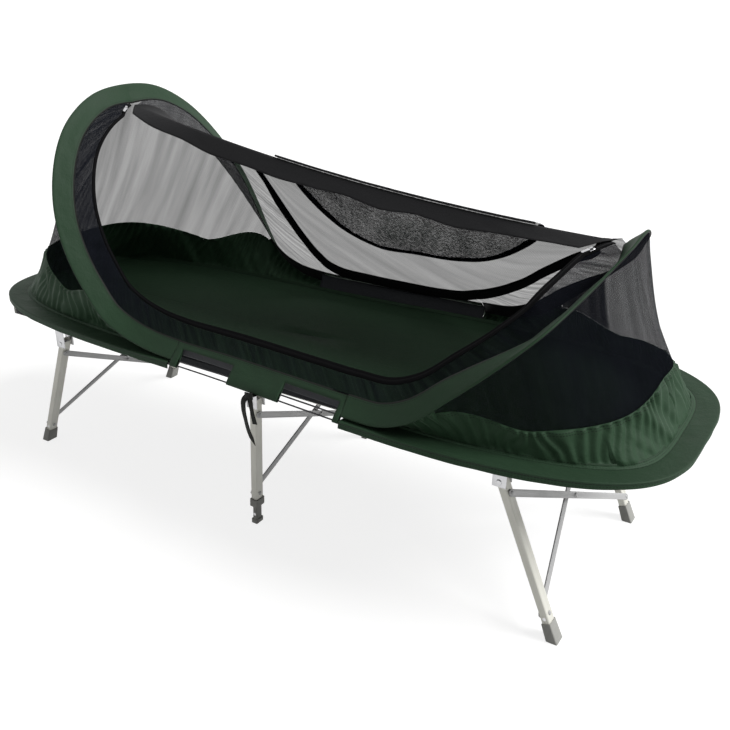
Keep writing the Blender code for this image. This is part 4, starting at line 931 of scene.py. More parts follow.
def plated_steel(name, base, roughness):
    """Pressed or die-cast metal with a thin plating; its gloss breaks up in faint clouds."""
    metal, add, shader = new_material(name, roughness, Metallic=1.0)
    place = add("TexCoord", output="Object")
    clouds = add("TexNoise", {"Vector": place, "Scale": 90.0, "Detail": 4.0})
    fill(shader, {"Base Color": add("Mix", {0: clouds, 6: scaled(base, 0.85),
                                            7: scaled(base, 1.08)}, 2, data_type="RGBA"),
                  "Roughness": add("MapRange", {0: clouds, 1: 0.3, 2: 0.7, 3: roughness - 0.07,
                                                4: roughness + 0.09})})
    return metal


MATERIALS = {}


def material(name):
    """Each material is made once and then shared."""
    if name not in MATERIALS:
        tent, bed = settings("tent_colours"), settings("bed_colours")
        green, grey, strip = tuple(tent.green), tuple(tent.grey), tuple(tent.strip)
        aluminium, plated = tuple(bed.aluminium), tuple(bed.plated)
        border = {"streaks": (60.0, 5.0, 0.9)}
        wall = {"streaks": (26.0, 2.0, 0.0), "depth": 0.07}
        kind, values, options = {
            "green_taffeta": (taffeta, (green, 0.58, (0.0085,), tuple(tent.binding)), {}),
            # painted shade: the dark strip cloth on the under half of the end sleeves
            "sleeve_lining": (taffeta, (strip, 0.66, (0.0085,)), {}),
            "tub_taffeta": (taffeta, (scaled(green, 1.30), 0.60, (0.006, 0.012)), {}),
            "floor_taffeta": (taffeta, (green, 0.60), {}),
            "grey_taffeta": (taffeta, (grey, 0.66, (0.005,)), {}),
            "bed_cloth": (taffeta, (scaled(grey, 0.8), 0.72, (0.012,)), {}),
            "strip_cloth": (taffeta, (strip, 0.66, (0.005,)), {}),
            "mosquito_net": (mosquito_net, (0.47,), {"streaks": (16.0, 3.0, 0.9)}),
            "border_net_near": (mosquito_net, (0.50,), {**border, "depth": 0.15,
                                                        "ramp": (0.45, 0.95, 0.28, 0.0)}),
            "border_net_far": (mosquito_net, (0.46,), {**border, "depth": 0.12}),
            "head_net": (mosquito_net, (0.47,), wall),
            "foot_net": (mosquito_net, (0.47,), {**wall, "ramp": (1.050, 1.062, 0.0, 0.36)}),
            "door_net": (mosquito_net, (0.36, 2), {"streaks": (18.0, 6.0, 0.5), "depth": 0.10}),
            "coil_zip": (coil_zip, (), {}),
            "ribbed_webbing": (ribbed_webbing, (), {}),
            "rail_aluminium": (extruded_aluminium, (aluminium, math.radians(90)), {}),
            "head_leg_aluminium": (extruded_aluminium, (aluminium, -END_SPLAY), {}),
            "middle_leg_aluminium": (extruded_aluminium, (aluminium, -MIDDLE_SPLAY), {}),
            "foot_leg_aluminium": (extruded_aluminium, (aluminium, END_SPLAY), {}),
            "brace_aluminium": (extruded_aluminium, (tuple(bed.brace), 0.0, math.radians(60),
                                                     0.36), {}),
            "moulded_plastic": (moulded_plastic, (tuple(bed.plastic),), {}),
            "spring_steel": (plated_steel, (tuple(bed.steel), 0.38), {}),
            "plated_metal": (plated_steel, (plated, 0.25), {}),
            "bracket_zinc": (plated_steel, (plated, 0.36), {}),
        }[name]
        MATERIALS[name] = kind(name, *values, **options)
    return MATERIALS[name]


# Sleeves and hoops

def folded_section(width, wall, channel=0.0):
    """Cloth folded round the wires, from the top hem to the under hem, as (in, up) pairs."""
    s = even(10)
    neck = channel + 1.5 * wall
    top_a = width + (neck - width) * s
    top_b = 0.0010 + (0.72 * wall - 0.0010) * s ** 1.6
    turn = np.radians(np.linspace(90, 270, 9))
    bend_a, bend_b = 0.95 * wall * np.cos(turn), 0.85 * wall * np.sin(turn)
    bend_a = np.where(bend_a > -1e-9, channel, bend_a)
    a = np.concatenate((top_a, bend_a, top_a[::-1]))
    b = np.concatenate((top_b, bend_b, -top_b[::-1]))
    return a, b


def sleeve_grid(wire, across, normal, a, b, seed):
    """Section swept along the wire; a and b may change from one station to the next."""
    run = travelled(wire)[:, None]
    width = a.max(axis=-1, keepdims=True)
    depth = np.clip(a / width, 0.0, 1.0)
    height = settings("tent_sizes").sleeve_wrinkle
    puckers = soft_noise(run / 0.035 + depth * 0.7, depth * 1.5, seed)
    pulls = soft_noise(run / 0.14 - depth, depth, seed + 1)
    wrinkle = height * (0.55 * puckers + 0.6 * pulls) * fade(depth, 0.45, 0.25)
    return (wire[:, None] + a[..., None] * across[:, None]
            + (b + wrinkle)[..., None] * normal[:, None])


def make_sleeve(kind, end, wire, across, normal, width, seed):
    """A sleeve round one wire over an end's tip; its width may change along the wire."""
    width = round_end(width + np.zeros(len(wire)), flip=False)
    wire, across, normal = (round_end(half) for half in (wire, across, normal))
    a, b = np.stack([folded_section(w - SLEEVE_CLOTH, END_WALL) for w in width], axis=1)
    grid = sleeve_grid(wire, across, normal, a, b, seed)
    out = -across[:, None] + np.sign(b)[..., None] * normal[:, None]
    piece = lay_cloth(f"sleeve_{kind}_{end}", grid, "green_taffeta", SLEEVE_CLOTH, out,
                      "green_cloth", f"{kind}_sleeve_{end}", hem=width[:, None] - a, offset=-1.0)
    # The under half of each end sleeve takes the dark strip cloth: painted shade on the side seen from inside the tent
    piece.data.materials.append(material("sleeve_lining"))
    columns = a.shape[1] - 1
    under = np.arange(len(piece.data.polygons)) % columns > columns // 2
    piece.data.polygons.foreach_set("material_index", under.astype(np.int32))
    return piece, grid


def lay_hoop(name, node, path, across, up, sides=10):
    """A closed hoop of round wire."""
    turns = 2 * math.pi * np.arange(sides) / sides
    rings = (path[:, None] + WIRE_RADIUS * (np.cos(turns)[:, None] * across[:, None]
                                            + np.sin(turns)[:, None] * up[:, None]))
    rings = np.concatenate((rings, rings[:1]))
    mesh = bpy.data.meshes.new(name)
    mesh.from_pydata(rings.reshape(-1, 3).tolist(), [], face_list(len(rings), sides, ring=True))
    with editing(mesh) as shape:
        bmesh.ops.remove_doubles(shape, verts=shape.verts, dist=1e-6)
        bmesh.ops.recalc_face_normals(shape, faces=shape.faces)
    mesh.shade_smooth()
    mesh.materials.append(material("spring_steel"))
    seat(add_object(name, mesh), "hoop_steel", node)


class TENT_OT_hoops(bpy.types.Operator):
    """Base hoop and arch hoop, round spring steel wire"""
    bl_idname = "tent.hoops"
    bl_label = "Hoops"

    def execute(self, context):
        side = side_stations(np.linspace(SIDE_HEAD_X, SIDE_FOOT_X, 40))
        near = np.concatenate((HEAD.base[:-1], side.base, FOOT.base[-2::-1]))
        path = np.concatenate((near, mirrored(near[-2:0:-1])))
        along = unit(np.roll(path, -1, axis=0) - np.roll(path, 1, axis=0))
        across = unit(np.cross(along, UP))
        lay_hoop("hoop_base", "base_hoop", path, across, np.cross(across, along))
        line = Rulings(even(320))
        lay_hoop("hoop_arch", "arch_hoop", *[np.concatenate((half, mirrored(half[-2:0:-1])))
                                             for half in (line.hoop, line.band, line.normal)])
        return {"FINISHED"}


class TENT_OT_end_sleeves(bpy.types.Operator):
    """Arch and base sleeves at both ends, cloth folded round the wire"""
    bl_idname = "tent.end_sleeves"
    bl_label = "End sleeves"

    def execute(self, context):
        for end, stations, seed in (("head", HEAD, 11), ("foot", FOOT, 23)):
            line = stations.line
            piece, grid = make_sleeve("arch", end, line.hoop, *line.sleeve(),
                                      ARCH_SLEEVE_WIDTH, seed)
            declare(piece, grid, "folded", ["hoop_arch"])
            reach = stations.inner - stations.base
            across = unit(reach)
            normal = unit(np.cross(np.cross(across, UP), across))
            piece, grid = make_sleeve("base", end, stations.base, across, normal,
                                      np.linalg.norm(reach, axis=1), seed + 5)
            declare(piece, grid, "folded", ["hoop_base"],
                    with_pieces=[self.skirt(end, stations, seed)])
        return {"FINISHED"}

    def skirt(self, end, stations, seed):
        """The sleeve's hem allowance, which hangs over the rails at the sides."""
        wire = round_end(stations.base)
        outward = unit(round_end(stations.base - stations.inner))
        start = wire + 0.6 * END_WALL * outward
        start[:, 2] -= 0.0012
        share = round_end(stations.share, flip=False)
        hang = settings("tent_sizes").skirt * (0.12 + 0.88 * np.clip(share / 0.45, 0.0, 1.0))
        s = even(7)
        run = travelled(wire)[:, None]
        flare = (0.0012 + 0.0010 * soft_noise(run / 0.05, s[None, :], seed + 9)) * s
        grid = start[:, None] + flare[..., None] * outward[:, None]
        grid[..., 2] -= hang[:, None] * s
        return lay_cloth("skirt_base_" + end, grid, "tub_taffeta", SLEEVE_CLOTH,
                         outward[:, None], "green_cloth", hem=(1 - s) * hang[:, None])


def side_places():
    """Stations along the side that land on the ends of the windows."""
    marks = [SIDE_HEAD_X + SEAM_GAP, *[x for pair in WINDOWS for x in pair], SIDE_FOOT_X - SEAM_GAP]
    places = [np.linspace(a, b, max(3, int((b - a) / 0.006)), endpoint=False)
              for a, b in zip(marks, marks[1:])]
    return np.concatenate((*places, marks[-1:]))


def side_section(stations):
    """Direction across a side sleeve from the base hoop, its normal and its width."""
    top = stations.line.hoop + ARCH_SLEEVE_WIDTH * stations.line.band
    width = np.linalg.norm(top - stations.base, axis=1)
    across = unit(top - stations.base)
    return across, np.stack((np.zeros_like(width), -across[:, 2], across[:, 1]), -1), width


class TENT_OT_side_sleeves(bpy.types.Operator):
    """Wide sleeves that hold both hoops along the sides, with two windows each"""
    bl_idname = "tent.side_sleeves"
    bl_label = "Side sleeves"

    def execute(self, context):
        places = side_places()
        stations = side_stations(places)
        across, normal, width = side_section(stations)
        spread = np.linalg.norm(stations.line.hoop - stations.base, axis=1)
        a, b = np.stack([folded_section(w - SLEEVE_CLOTH, SIDE_WALL, gap)
                         for w, gap in zip(width, spread)], axis=1)
        edge = int(np.argmin(np.abs(a[len(a) // 2, :9] - WINDOW_DEPTH)))
        last = a.shape[1] - 1 - edge
        a[:, edge] = a[:, last] = WINDOW_DEPTH
        kept = np.ones((len(places) - 1, a.shape[1] - 1), dtype=bool)
        middles = (places[1:] + places[:-1]) / 2
        for low, high in WINDOWS:
            kept[(middles > low) & (middles < high), edge:last] = False
        out = -across[:, None] + np.sign(b)[..., None] * normal[:, None]
        for side, seed in (("near", 31), ("far", 37)):
            grid = sleeve_grid(stations.base, across, normal, a, b, seed)
            piece = lay_cloth("sleeve_side_" + side, grid, "green_taffeta", SLEEVE_CLOTH, out,
                              "green_cloth", "side_sleeve_" + side, hem=width[:, None] - a,
                              kept=kept, offset=-1.0, far=side == "far")
            declare(piece, grid, "folded", ["hoop_base", "hoop_arch"], kept=kept)
        return {"FINISHED"}


# End walls

TUB_ROWS = 34
NET_ROWS = 30


class EndWall:
    """Wall between one end of the arch hoop and the base sleeve, near seam to far seam."""

    def __init__(self, stations, sign):
        line = stations.line
        foot = stations.inner + np.array((0.0, 0.0, CLOTH_THICKNESS * 1.35 + SEAM_GAP))
        drop = 0.55 * END_WALL
        down = unit(foot - line.hoop)
        outward = unit(np.cross(line.along, down))
        outward = outward * np.where(outward[:, :1] * sign < 0.0, -1.0, 1.0)
        top = line.hoop + drop * np.sign(dot(down, line.normal)) * line.normal
        self.top, self.foot = round_end(top), round_end(foot)
        self.lip = round_end(foot + 0.007 * unit(stations.base - stations.inner)
                             - np.array((0.0, 0.0, 0.0006)))
        self.outward = round_end(outward)
        self.split = 1.0 - round_end(smooth_knots(stations.share, TUB_KNOTS), flip=False)
        self.height = np.linalg.norm(self.foot - self.top, axis=1)
        self.has_net = self.split * self.height > LEAST_WALL
        self.run = travelled(self.foot) - travelled(self.foot)[len(self.foot) // 2]

    def grid(self, first, last, count):
        """Rows of points between two shares of the drop, which may differ by station."""
        s = even(count)
        depth = first[:, None] + (last - first)[:, None] * s
        sag = 4 * END_NET_SAG * self.height[:, None] * depth * (1 - depth)
        straight = self.top[:, None] + depth[..., None] * (self.foot - self.top)[:, None]
        return straight - sag[..., None] * self.outward[:, None], depth


class TENT_OT_tubs(bpy.types.Operator):
    """Gathered green cloth between the nets and the base sleeve"""
    bl_idname = "tent.tubs"
    bl_label = "Tubs"

    def execute(self, context):
        sizes = settings("tent_sizes")
        for end, stations, sign, seed in (("head", HEAD, -1, 41), ("foot", FOOT, 1, 53)):
            wall = EndWall(stations, sign)
            start = np.where(wall.has_net, wall.split + SEAM_GAP / wall.height, 0.0)
            grid, depth = wall.grid(start, np.ones_like(start), TUB_ROWS)
            s = even(TUB_ROWS)[None, :]
            run = wall.run[:, None] + np.zeros_like(depth)
            tallness = ((1 - start) * wall.height)[:, None]
            low = (1 - s) * tallness
            drift = 0.8 * soft_noise(run / 0.08, s * 1.2, seed)
            pleats = np.cos(2 * math.pi * (run / sizes.pleat_pitch + drift + 0.25 * s))
            pleats = pleats * np.exp(-(s * tallness) / 0.090) * sizes.pleat_depth
            corner = run - np.sign(run) * (0.30 * np.abs(wall.run).max())
            slant = run + np.sign(corner) * low * 0.85
            folds = soft_noise(slant / 0.060, s * 0.9, seed + 1)
            folds = folds + 0.4 * soft_noise(slant / 0.028 + 9.0, s * 1.2 + 4.0, seed + 2)
            room = np.clip(tallness / 0.10, 0.0, 1.0)
            shift = (pleats + sizes.fold_depth * 0.8 * folds) * fade(s, 0.06, 0.14) * room
            shift = np.clip(shift, -0.008, 0.009)
            grid = grid + shift[..., None] * wall.outward[:, None]
            grid = np.concatenate((grid, wall.lip[:, None]), axis=1)
            hem = np.concatenate((np.minimum(s * tallness, low + 0.007), 0.0 * tallness), axis=1)
            piece = lay_cloth("tub_" + end, grid, "tub_taffeta", CLOTH_THICKNESS * 0.6,
                              wall.outward[:, None], "green_cloth", end + "_tub", hem=hem)
            declare(piece, grid, "gathered", ["sleeve_base_" + end])
        return {"FINISHED"}


class TENT_OT_end_nets(bpy.types.Operator):
    """Netting above the tubs at the head and the foot"""
    bl_idname = "tent.end_nets"
    bl_label = "End nets"

    def execute(self, context):
        height = settings("tent_sizes").net_wrinkle
        for end, stations, sign, seed in (("head", HEAD, -1, 61), ("foot", FOOT, 1, 67)):
            wall = EndWall(stations, sign)
            grid, depth = wall.grid(np.zeros_like(wall.split), wall.split, NET_ROWS)
            chosen = wall.has_net
            s = even(NET_ROWS)[None, :]
            run = wall.run[:, None]
            fan = run * (0.55 + 0.9 * depth)
            ripples = soft_noise(fan / 0.030, s * 1.3, seed) + 0.6 * soft_noise(fan / 0.075, s,
                                                                                seed + 1)
            shift = height * ripples * fade(s, 0.25, 0.15)
            grid = (grid + shift[..., None] * wall.outward[:, None])[chosen]
            hem = np.minimum(s, 1 - s) * (wall.split * wall.height)[chosen][:, None]
            net = lay_cloth("net_" + end, grid, end + "_net", NET_CLOTH,
                            wall.outward[chosen][:, None], "net", end + "_net", hem=hem)
            declare(net, grid, "stretched", ["sleeve_arch_" + end])
        return {"FINISHED"}


# Side walls

BORDER_ROWS = 16
DOOR_ROWS = 40


def side_lines(places=even(420), least=LEAST_REACH):
    line = Rulings(places)
    return line.keep(line.reach > least)


class TENT_OT_border_nets(bpy.types.Operator):
    """Netting between the arch sleeve and the zip, drawn into slanting wrinkles"""
    bl_idname = "tent.border_nets"
    bl_label = "Border nets"

    def execute(self, context):
        whole = side_lines()
        lower = whole.t > FAR_BORDER_START
        self.panel("net_border_near", "near", whole, 71)
        self.panel("net_border_far", "far", whole.keep(lower), 79)
        self.panel("net_panel_far", "far", whole.keep(np.roll(~lower, 1)), 83)
        return {"FINISHED"}

    def panel(self, name, side, line, seed):
        """One cut of net between the sleeve and the zip."""
        height = settings("tent_sizes").net_wrinkle
        outer = line.hoop + (ARCH_SLEEVE_WIDTH - 0.003) * line.sleeve()[0]
        s = even(BORDER_ROWS)[None, :]
        run = travelled(line.seam)[:, None]
        last = line.zip[side] - ZIP_TAPE_WIDTH / 2 * line.tape[side] - SEAM_GAP
        if side == "far":
            beyond = line.t < FAR_ZIP_POINTS[0][0]
            last = np.where(beyond, line.reach - line.strip - SEAM_GAP, last)
        distance = last[:, None] * s
        inner = line.seam + last[:, None] * line.inward
        slant = run + 0.9 * distance * np.sign(run - run.max() * 0.5)
        ripples = soft_noise(slant / 0.022, s * 0.8, seed) + 0.5 * soft_noise(slant / 0.010, s,
                                                                            seed + 1)
        shift = height * ripples * fade(s, 0.3, 0.2) * np.clip(last / 0.04, 0.2, 1.0)[:, None]
        grid = (outer[:, None] + s[..., None] * (inner - outer)[:, None]
                + shift[..., None] * line.normal[:, None])
        net = lay_cloth(name, grid, "border_net_" + side, NET_CLOTH, line.normal[:, None], "net",
                        "border_net_" + side, hem=np.minimum(distance, last[:, None] - distance),
                        far=side == "far")
        declare(net, grid, "stretched", ["sleeve_arch_head", "sleeve_arch_foot"],
                with_pieces=[bpy.data.objects["zip_tape_" + side]])


class TENT_OT_zips(bpy.types.Operator):
    """Zip tapes with their raised coil, round the near and the far doorway"""
    bl_idname = "tent.zips"
    bl_label = "Zips"

    def execute(self, context):
        far_line = side_lines(FAR_ZIP.at(even(420))[:, 0])
        for side, line in (("near", side_lines()), ("far", far_line)):
            path = line.rows(line.zip[side][:, None])[:, 0]
            across = unit(np.cross(line.normal, np.gradient(path, axis=0)))
            reach = line.tape[side][:, None] * ZIP_STEPS
            grid = path[:, None] + reach[..., None] * across[:, None]
            grid = grid + ZIP_RISE[:, None] * line.normal[:, None]
            lay_cloth("zip_tape_" + side, grid, "coil_zip", TAPE_CLOTH, line.normal[:, None],
                      "zip_tape", "zip_" + side, hem=np.abs(ZIP_STEPS)[None, :],
                      far=side == "far")
        self.flap(mirrored(path))
        return {"FINISHED"}

    def flap(self, path):
        """Cover strip inside the far zip, sewn along its upper edge so that it hangs."""
        run = travelled(path)
        taper = np.clip(np.minimum(run, run[-1] - run) / 0.12, 0.02, 1.0)
        s = even(5)
        sway = 0.0015 * soft_noise(run[:, None] / 0.06, s, 83) * s
        grid = np.repeat(path[:, None], 5, axis=1)
        grid[..., 1] += sway - 0.0025
        grid[..., 2] -= settings("tent_sizes").zip_flap * taper[:, None] * s
        lay_cloth("zip_flap_far", grid, "coil_zip", SLEEVE_CLOTH, np.array((0.0, -1.0, 0.0)),
                  "zip_tape")


class TENT_OT_ridge(bpy.types.Operator):
    """Dark cloth strip along the ridge"""
    bl_idname = "tent.ridge"
    bl_label = "Ridge strip"

    def execute(self, context):
        line = side_lines(least=0.027)
        s = np.linspace(1.0, 0.0, 9)
        width = np.maximum(line.strip, 0.001)[:, None] * s
        pulled = 0.72 + 0.09 * soft_noise(travelled(line.ridge) / 0.11, 0.0, 89)
        near = line.rows(line.reach[:, None] - pulled[:, None] * width)
        far = mirrored(line.rows(line.reach[:, None] - width))
        grid = np.concatenate((near, far[:, -2::-1]), axis=1)
        place = np.concatenate((-s, s[-2::-1]))[None, :]
        run = travelled(line.ridge)[:, None]
        ripples = RIPPLE * soft_noise(run / 0.05 + place, place * 1.5 + 4, 91)
        edges = np.clip((1 - np.abs(place)) / 0.3, 0.0, 1.0)
        grid = grid + (ripples * edges * np.abs(place))[..., None] * UP
        piece = lay_cloth("strip_ridge", grid, "strip_cloth", 0.0010, UP, "dark_cloth",
                          "ridge_strip", hem=(1 - np.abs(place)) * line.strip[:, None])
        declare(piece, grid, "stretched", ["sleeve_arch_head", "sleeve_arch_foot"])
        return {"FINISHED"}


class TENT_OT_back_door(bpy.types.Operator):
    """Far door, zipped shut"""
    bl_idname = "tent.back_door"
    bl_label = "Back door"

    def execute(self, context):
        line = side_lines()
        low, high = self.edges(line)
        line = line.keep(high - low > 0.010)
        low, high = self.edges(line)
        s = even(DOOR_ROWS)[None, :]
        distance = low[:, None] + (high - low)[:, None] * s
        run = travelled(line.ridge)[:, None] + 0.4 * s
        ripples = soft_noise(run / 0.06, s * 1.6, 97) + 0.4 * soft_noise(run / 0.02, s * 2, 98)
        shift = -settings("tent_sizes").net_wrinkle * 0.6 * (1 + ripples) * fade(s, 0.2, 0.2)
        grid = line.rows(distance) + shift[..., None] * line.normal[:, None]
        hem = np.minimum(distance - low[:, None], high[:, None] - distance)
        piece = lay_cloth("door_back", grid, "mosquito_net", NET_CLOTH, line.normal[:, None],
                          "net", "back_door", hem=hem, far=True)
        declare(piece, grid, "stretched", ["strip_ridge", "zip_tape_far"])
        return {"FINISHED"}

    @staticmethod
    def edges(line):
        """Distances from the seam to the door's zip and to the ridge strip."""
        return (line.zip["far"] + ZIP_TAPE_WIDTH / 2 + SEAM_GAP,
                line.reach - line.strip - SEAM_GAP)


class ThrownDoor:
    """The near door, thrown over the ridge onto the far wall."""

    def __init__(self):
        line = Rulings(np.linspace(0.05, 0.98, 900))
        order = np.argsort(line.ridge[:, 0])
        self.x = line.ridge[order, 0]
        self.ridge = mirrored(line.ridge[order])
        self.down = mirrored(-line.inward[order])
        self.normal = mirrored(line.normal[order])
        self.lift = STRIP_THICKNESS / 2 + DOOR_CLEARANCE
        self.rise = (DOOR_HEM_RADIUS + STRIP_THICKNESS * 0.6 + 2 * CLEARANCE) * UP
        self.outline = Curve([(x, depth, 0.0) for x, depth in DOOR_OUTLINE])

    def hinge(self, x):
        """Rolled hem on the ridge, a little above it."""
        return ridge_point((x - RIDGE_HEAD[0]) / (RIDGE_FOOT[0] - RIDGE_HEAD[0])) + self.rise

    def read(self, values, x):
        return np.stack([np.interp(x, self.x, values[:, k]) for k in range(3)], -1)

    def crumple(self, x, reach, depth):
        """Height of the folds: long ones that fan from the ends of the hinge, and small ones."""
        s = np.clip(reach / np.maximum(depth, 1e-6), 0.0, 1.0)
        fan = np.arctan2(reach + 0.02, x + 0.22)
        long_folds = soft_noise(fan * 14.0, reach * 3.0, 101)
        cross = soft_noise(x / 0.045 + reach / 0.10, reach / 0.05, 103)
        small = soft_noise(x / 0.018, reach / 0.022, 107)
        folds = 0.55 + 0.45 * long_folds + 0.30 * cross + 0.14 * small
        return settings("tent_sizes").crumple * np.clip(folds, 0.0, 1.4) * fade(s, 0.35, 0.12)

    def point(self, x, reach, lift=0.0):
        depth = np.interp(x, self.outline.points[:, 0], self.outline.points[:, 1])
        height = self.lift + lift + self.crumple(x, reach, depth)
        surface = (self.read(self.ridge, x) + reach[..., None] * unit(self.read(self.down, x))
                   + height[..., None] * unit(self.read(self.normal, x)))
        axis = self.hinge(x)
        return axis + eased(np.clip(reach / 0.030, 0.0, 1.0)[..., None]) * (surface - axis)


class TENT_OT_front_door(bpy.types.Operator):
    """Near door, thrown over the ridge, with its rolled hinge hem and edge tape"""
    bl_idname = "tent.front_door"
    bl_label = "Front door"

    def execute(self, context):
        door = ThrownDoor()
        x = np.linspace(DOOR_OUTLINE[0][0], DOOR_OUTLINE[-1][0], 220)
        depth = np.interp(x, door.outline.points[:, 0], door.outline.points[:, 1])
        s = even(60)
        grid = door.point(x[:, None] + np.zeros((1, 60)), depth[:, None] * s)
        net = lay_cloth("door_front", grid, "door_net", NET_CLOTH, DOOR_UP, "net", "front_door",
                        swings=True)
        declare(net, grid, "draped", ["strip_ridge", "door_back"],
                with_pieces=[self.edge_tape(door), self.hinge_hem(door)])
        return {"FINISHED"}

    def edge_tape(self, door):
        """Half of the zip, sewn round the door's free edge."""
        edge = door.outline.at(even(260))
        way = door.outline.tangent(even(260), 0.01)
        inward = np.stack((way[:, 1], -way[:, 0]), -1)
        steps = settings("tent_sizes").edge_tape * even(7)
        flat = edge[:, None, :2] + steps[:, None] * inward[:, None]
        flat[..., 0] = np.clip(flat[..., 0], DOOR_OUTLINE[0][0], DOOR_OUTLINE[-1][0])
        grid = door.point(flat[..., 0], np.maximum(flat[..., 1], 0.012), lift=0.0012)
        return lay_cloth("door_front_tape", grid, "coil_zip", TAPE_CLOTH, DOOR_UP, "zip_tape",
                         hem=0.004 + steps[None, :], swings=True)

    def hinge_hem(self, door):
        """Rolled hem along the ridge where the door turns."""
        path = door.hinge(np.linspace(DOOR_OUTLINE[0][0], DOOR_OUTLINE[-1][0], 120))
        turns = np.linspace(0.0, 2 * math.pi, 11)
        run = travelled(path)[:, None]
        radius = (DOOR_HEM_RADIUS - 0.0002) * (0.88 + 0.10 * soft_noise(run / 0.02, turns, 113))
        ring = np.stack((np.zeros_like(turns), np.cos(turns), np.sin(turns)), -1)
        grid = path[:, None] + radius[..., None] * ring
        return lay_cloth("door_front_hem", grid, "strip_cloth", SLEEVE_CLOTH, ring, "net",
                         offset=-1.0, swings=True)


# Floor, inner walls and bed cloth

class TENT_OT_floor(bpy.types.Operator):
    """Tent floor on the bed, its rim drawn up to the base sleeve"""
    bl_idname = "tent.floor"
    bl_label = "Floor"

    def execute(self, context):
        side = side_stations(np.linspace(SIDE_HEAD_X, SIDE_FOOT_X, 40))
        near = np.concatenate((HEAD.inner[::2], side.inner[1:-1], FOOT.inner[::-2]))
        rim = np.concatenate((near, mirrored(near[-2:0:-1]), near[:1]))
        low = DECK_TOP + CLEARANCE + CLOTH_THICKNESS / 2
        flat = rim * np.array((1.0, 1.0, 0.0))
        lap = flat - 0.0045 * unit(flat)
        lap[:, 2] = rim[:, 2] + 0.010
        flat = flat - 2 * SEAM_GAP * unit(flat)
        rows = [lap]
        for share in FLOOR_ROWS:
            rise = np.clip((share - FLOOR_BEND) / (1 - FLOOR_BEND), 0.0, 1.0)
            wave_height = 0.0012 * (1 + soft_noise(flat[:, 0] * share / 0.09,
                                                   flat[:, 1] * share / 0.11, 121))
            height = low + rise * (rim[:, 2] - low) + wave_height * min(1.0, (1 - share) / 0.12)
            rows.append(share * flat + height[:, None] * UP)
        grid = np.stack(rows, axis=1)
        piece = lay_cloth("floor_tent", grid, "floor_taffeta", 0.0010, UP, "green_cloth",
                          "tent_floor")
        reach = 2 * travelled(np.swapaxes(grid, 0, 1))[-1]
        declare(piece, grid, "laid", ["cloth_bed"], flat=(float(reach.min()), float(reach.max())))
        return {"FINISHED"}


class TENT_OT_gussets(bpy.types.Operator):
    """Low inner walls behind the windows"""
    bl_idname = "tent.gussets"
    bl_label = "Inner walls"

    def execute(self, context):
        stations = side_stations(np.linspace(SIDE_HEAD_X - 0.008, SIDE_FOOT_X + 0.008, 70))
        across, normal, _ = side_section(stations)
        top = (stations.base + (WINDOW_DEPTH + GUSSET_LAP) * across
               - (GUSSET_DROP + 0.0004) * normal)
        foot = stations.inner + np.array((0.0, -0.004, CLOTH_THICKNESS + SEAM_GAP))
        s = even(10)
        grid = top[:, None] + s[:, None] * (foot - top)[:, None]
        ripples = soft_noise(stations.base[:, :1] / 0.05, s[None, :] * 1.2, 131)
        grid[..., 1] += 0.0008 * ripples * fade(s, 0.3, 0.3)[None, :]
        for side in ("near", "far"):
            piece = lay_cloth("wall_inner_" + side, grid, "grey_taffeta", 0.0007,
                              np.array((0.0, -1.0, 0.2)), "dark_cloth", "side_gusset_" + side,
                              far=side == "far")
            declare(piece, grid, "stretched", ["sleeve_side_" + side])
        return {"FINISHED"}


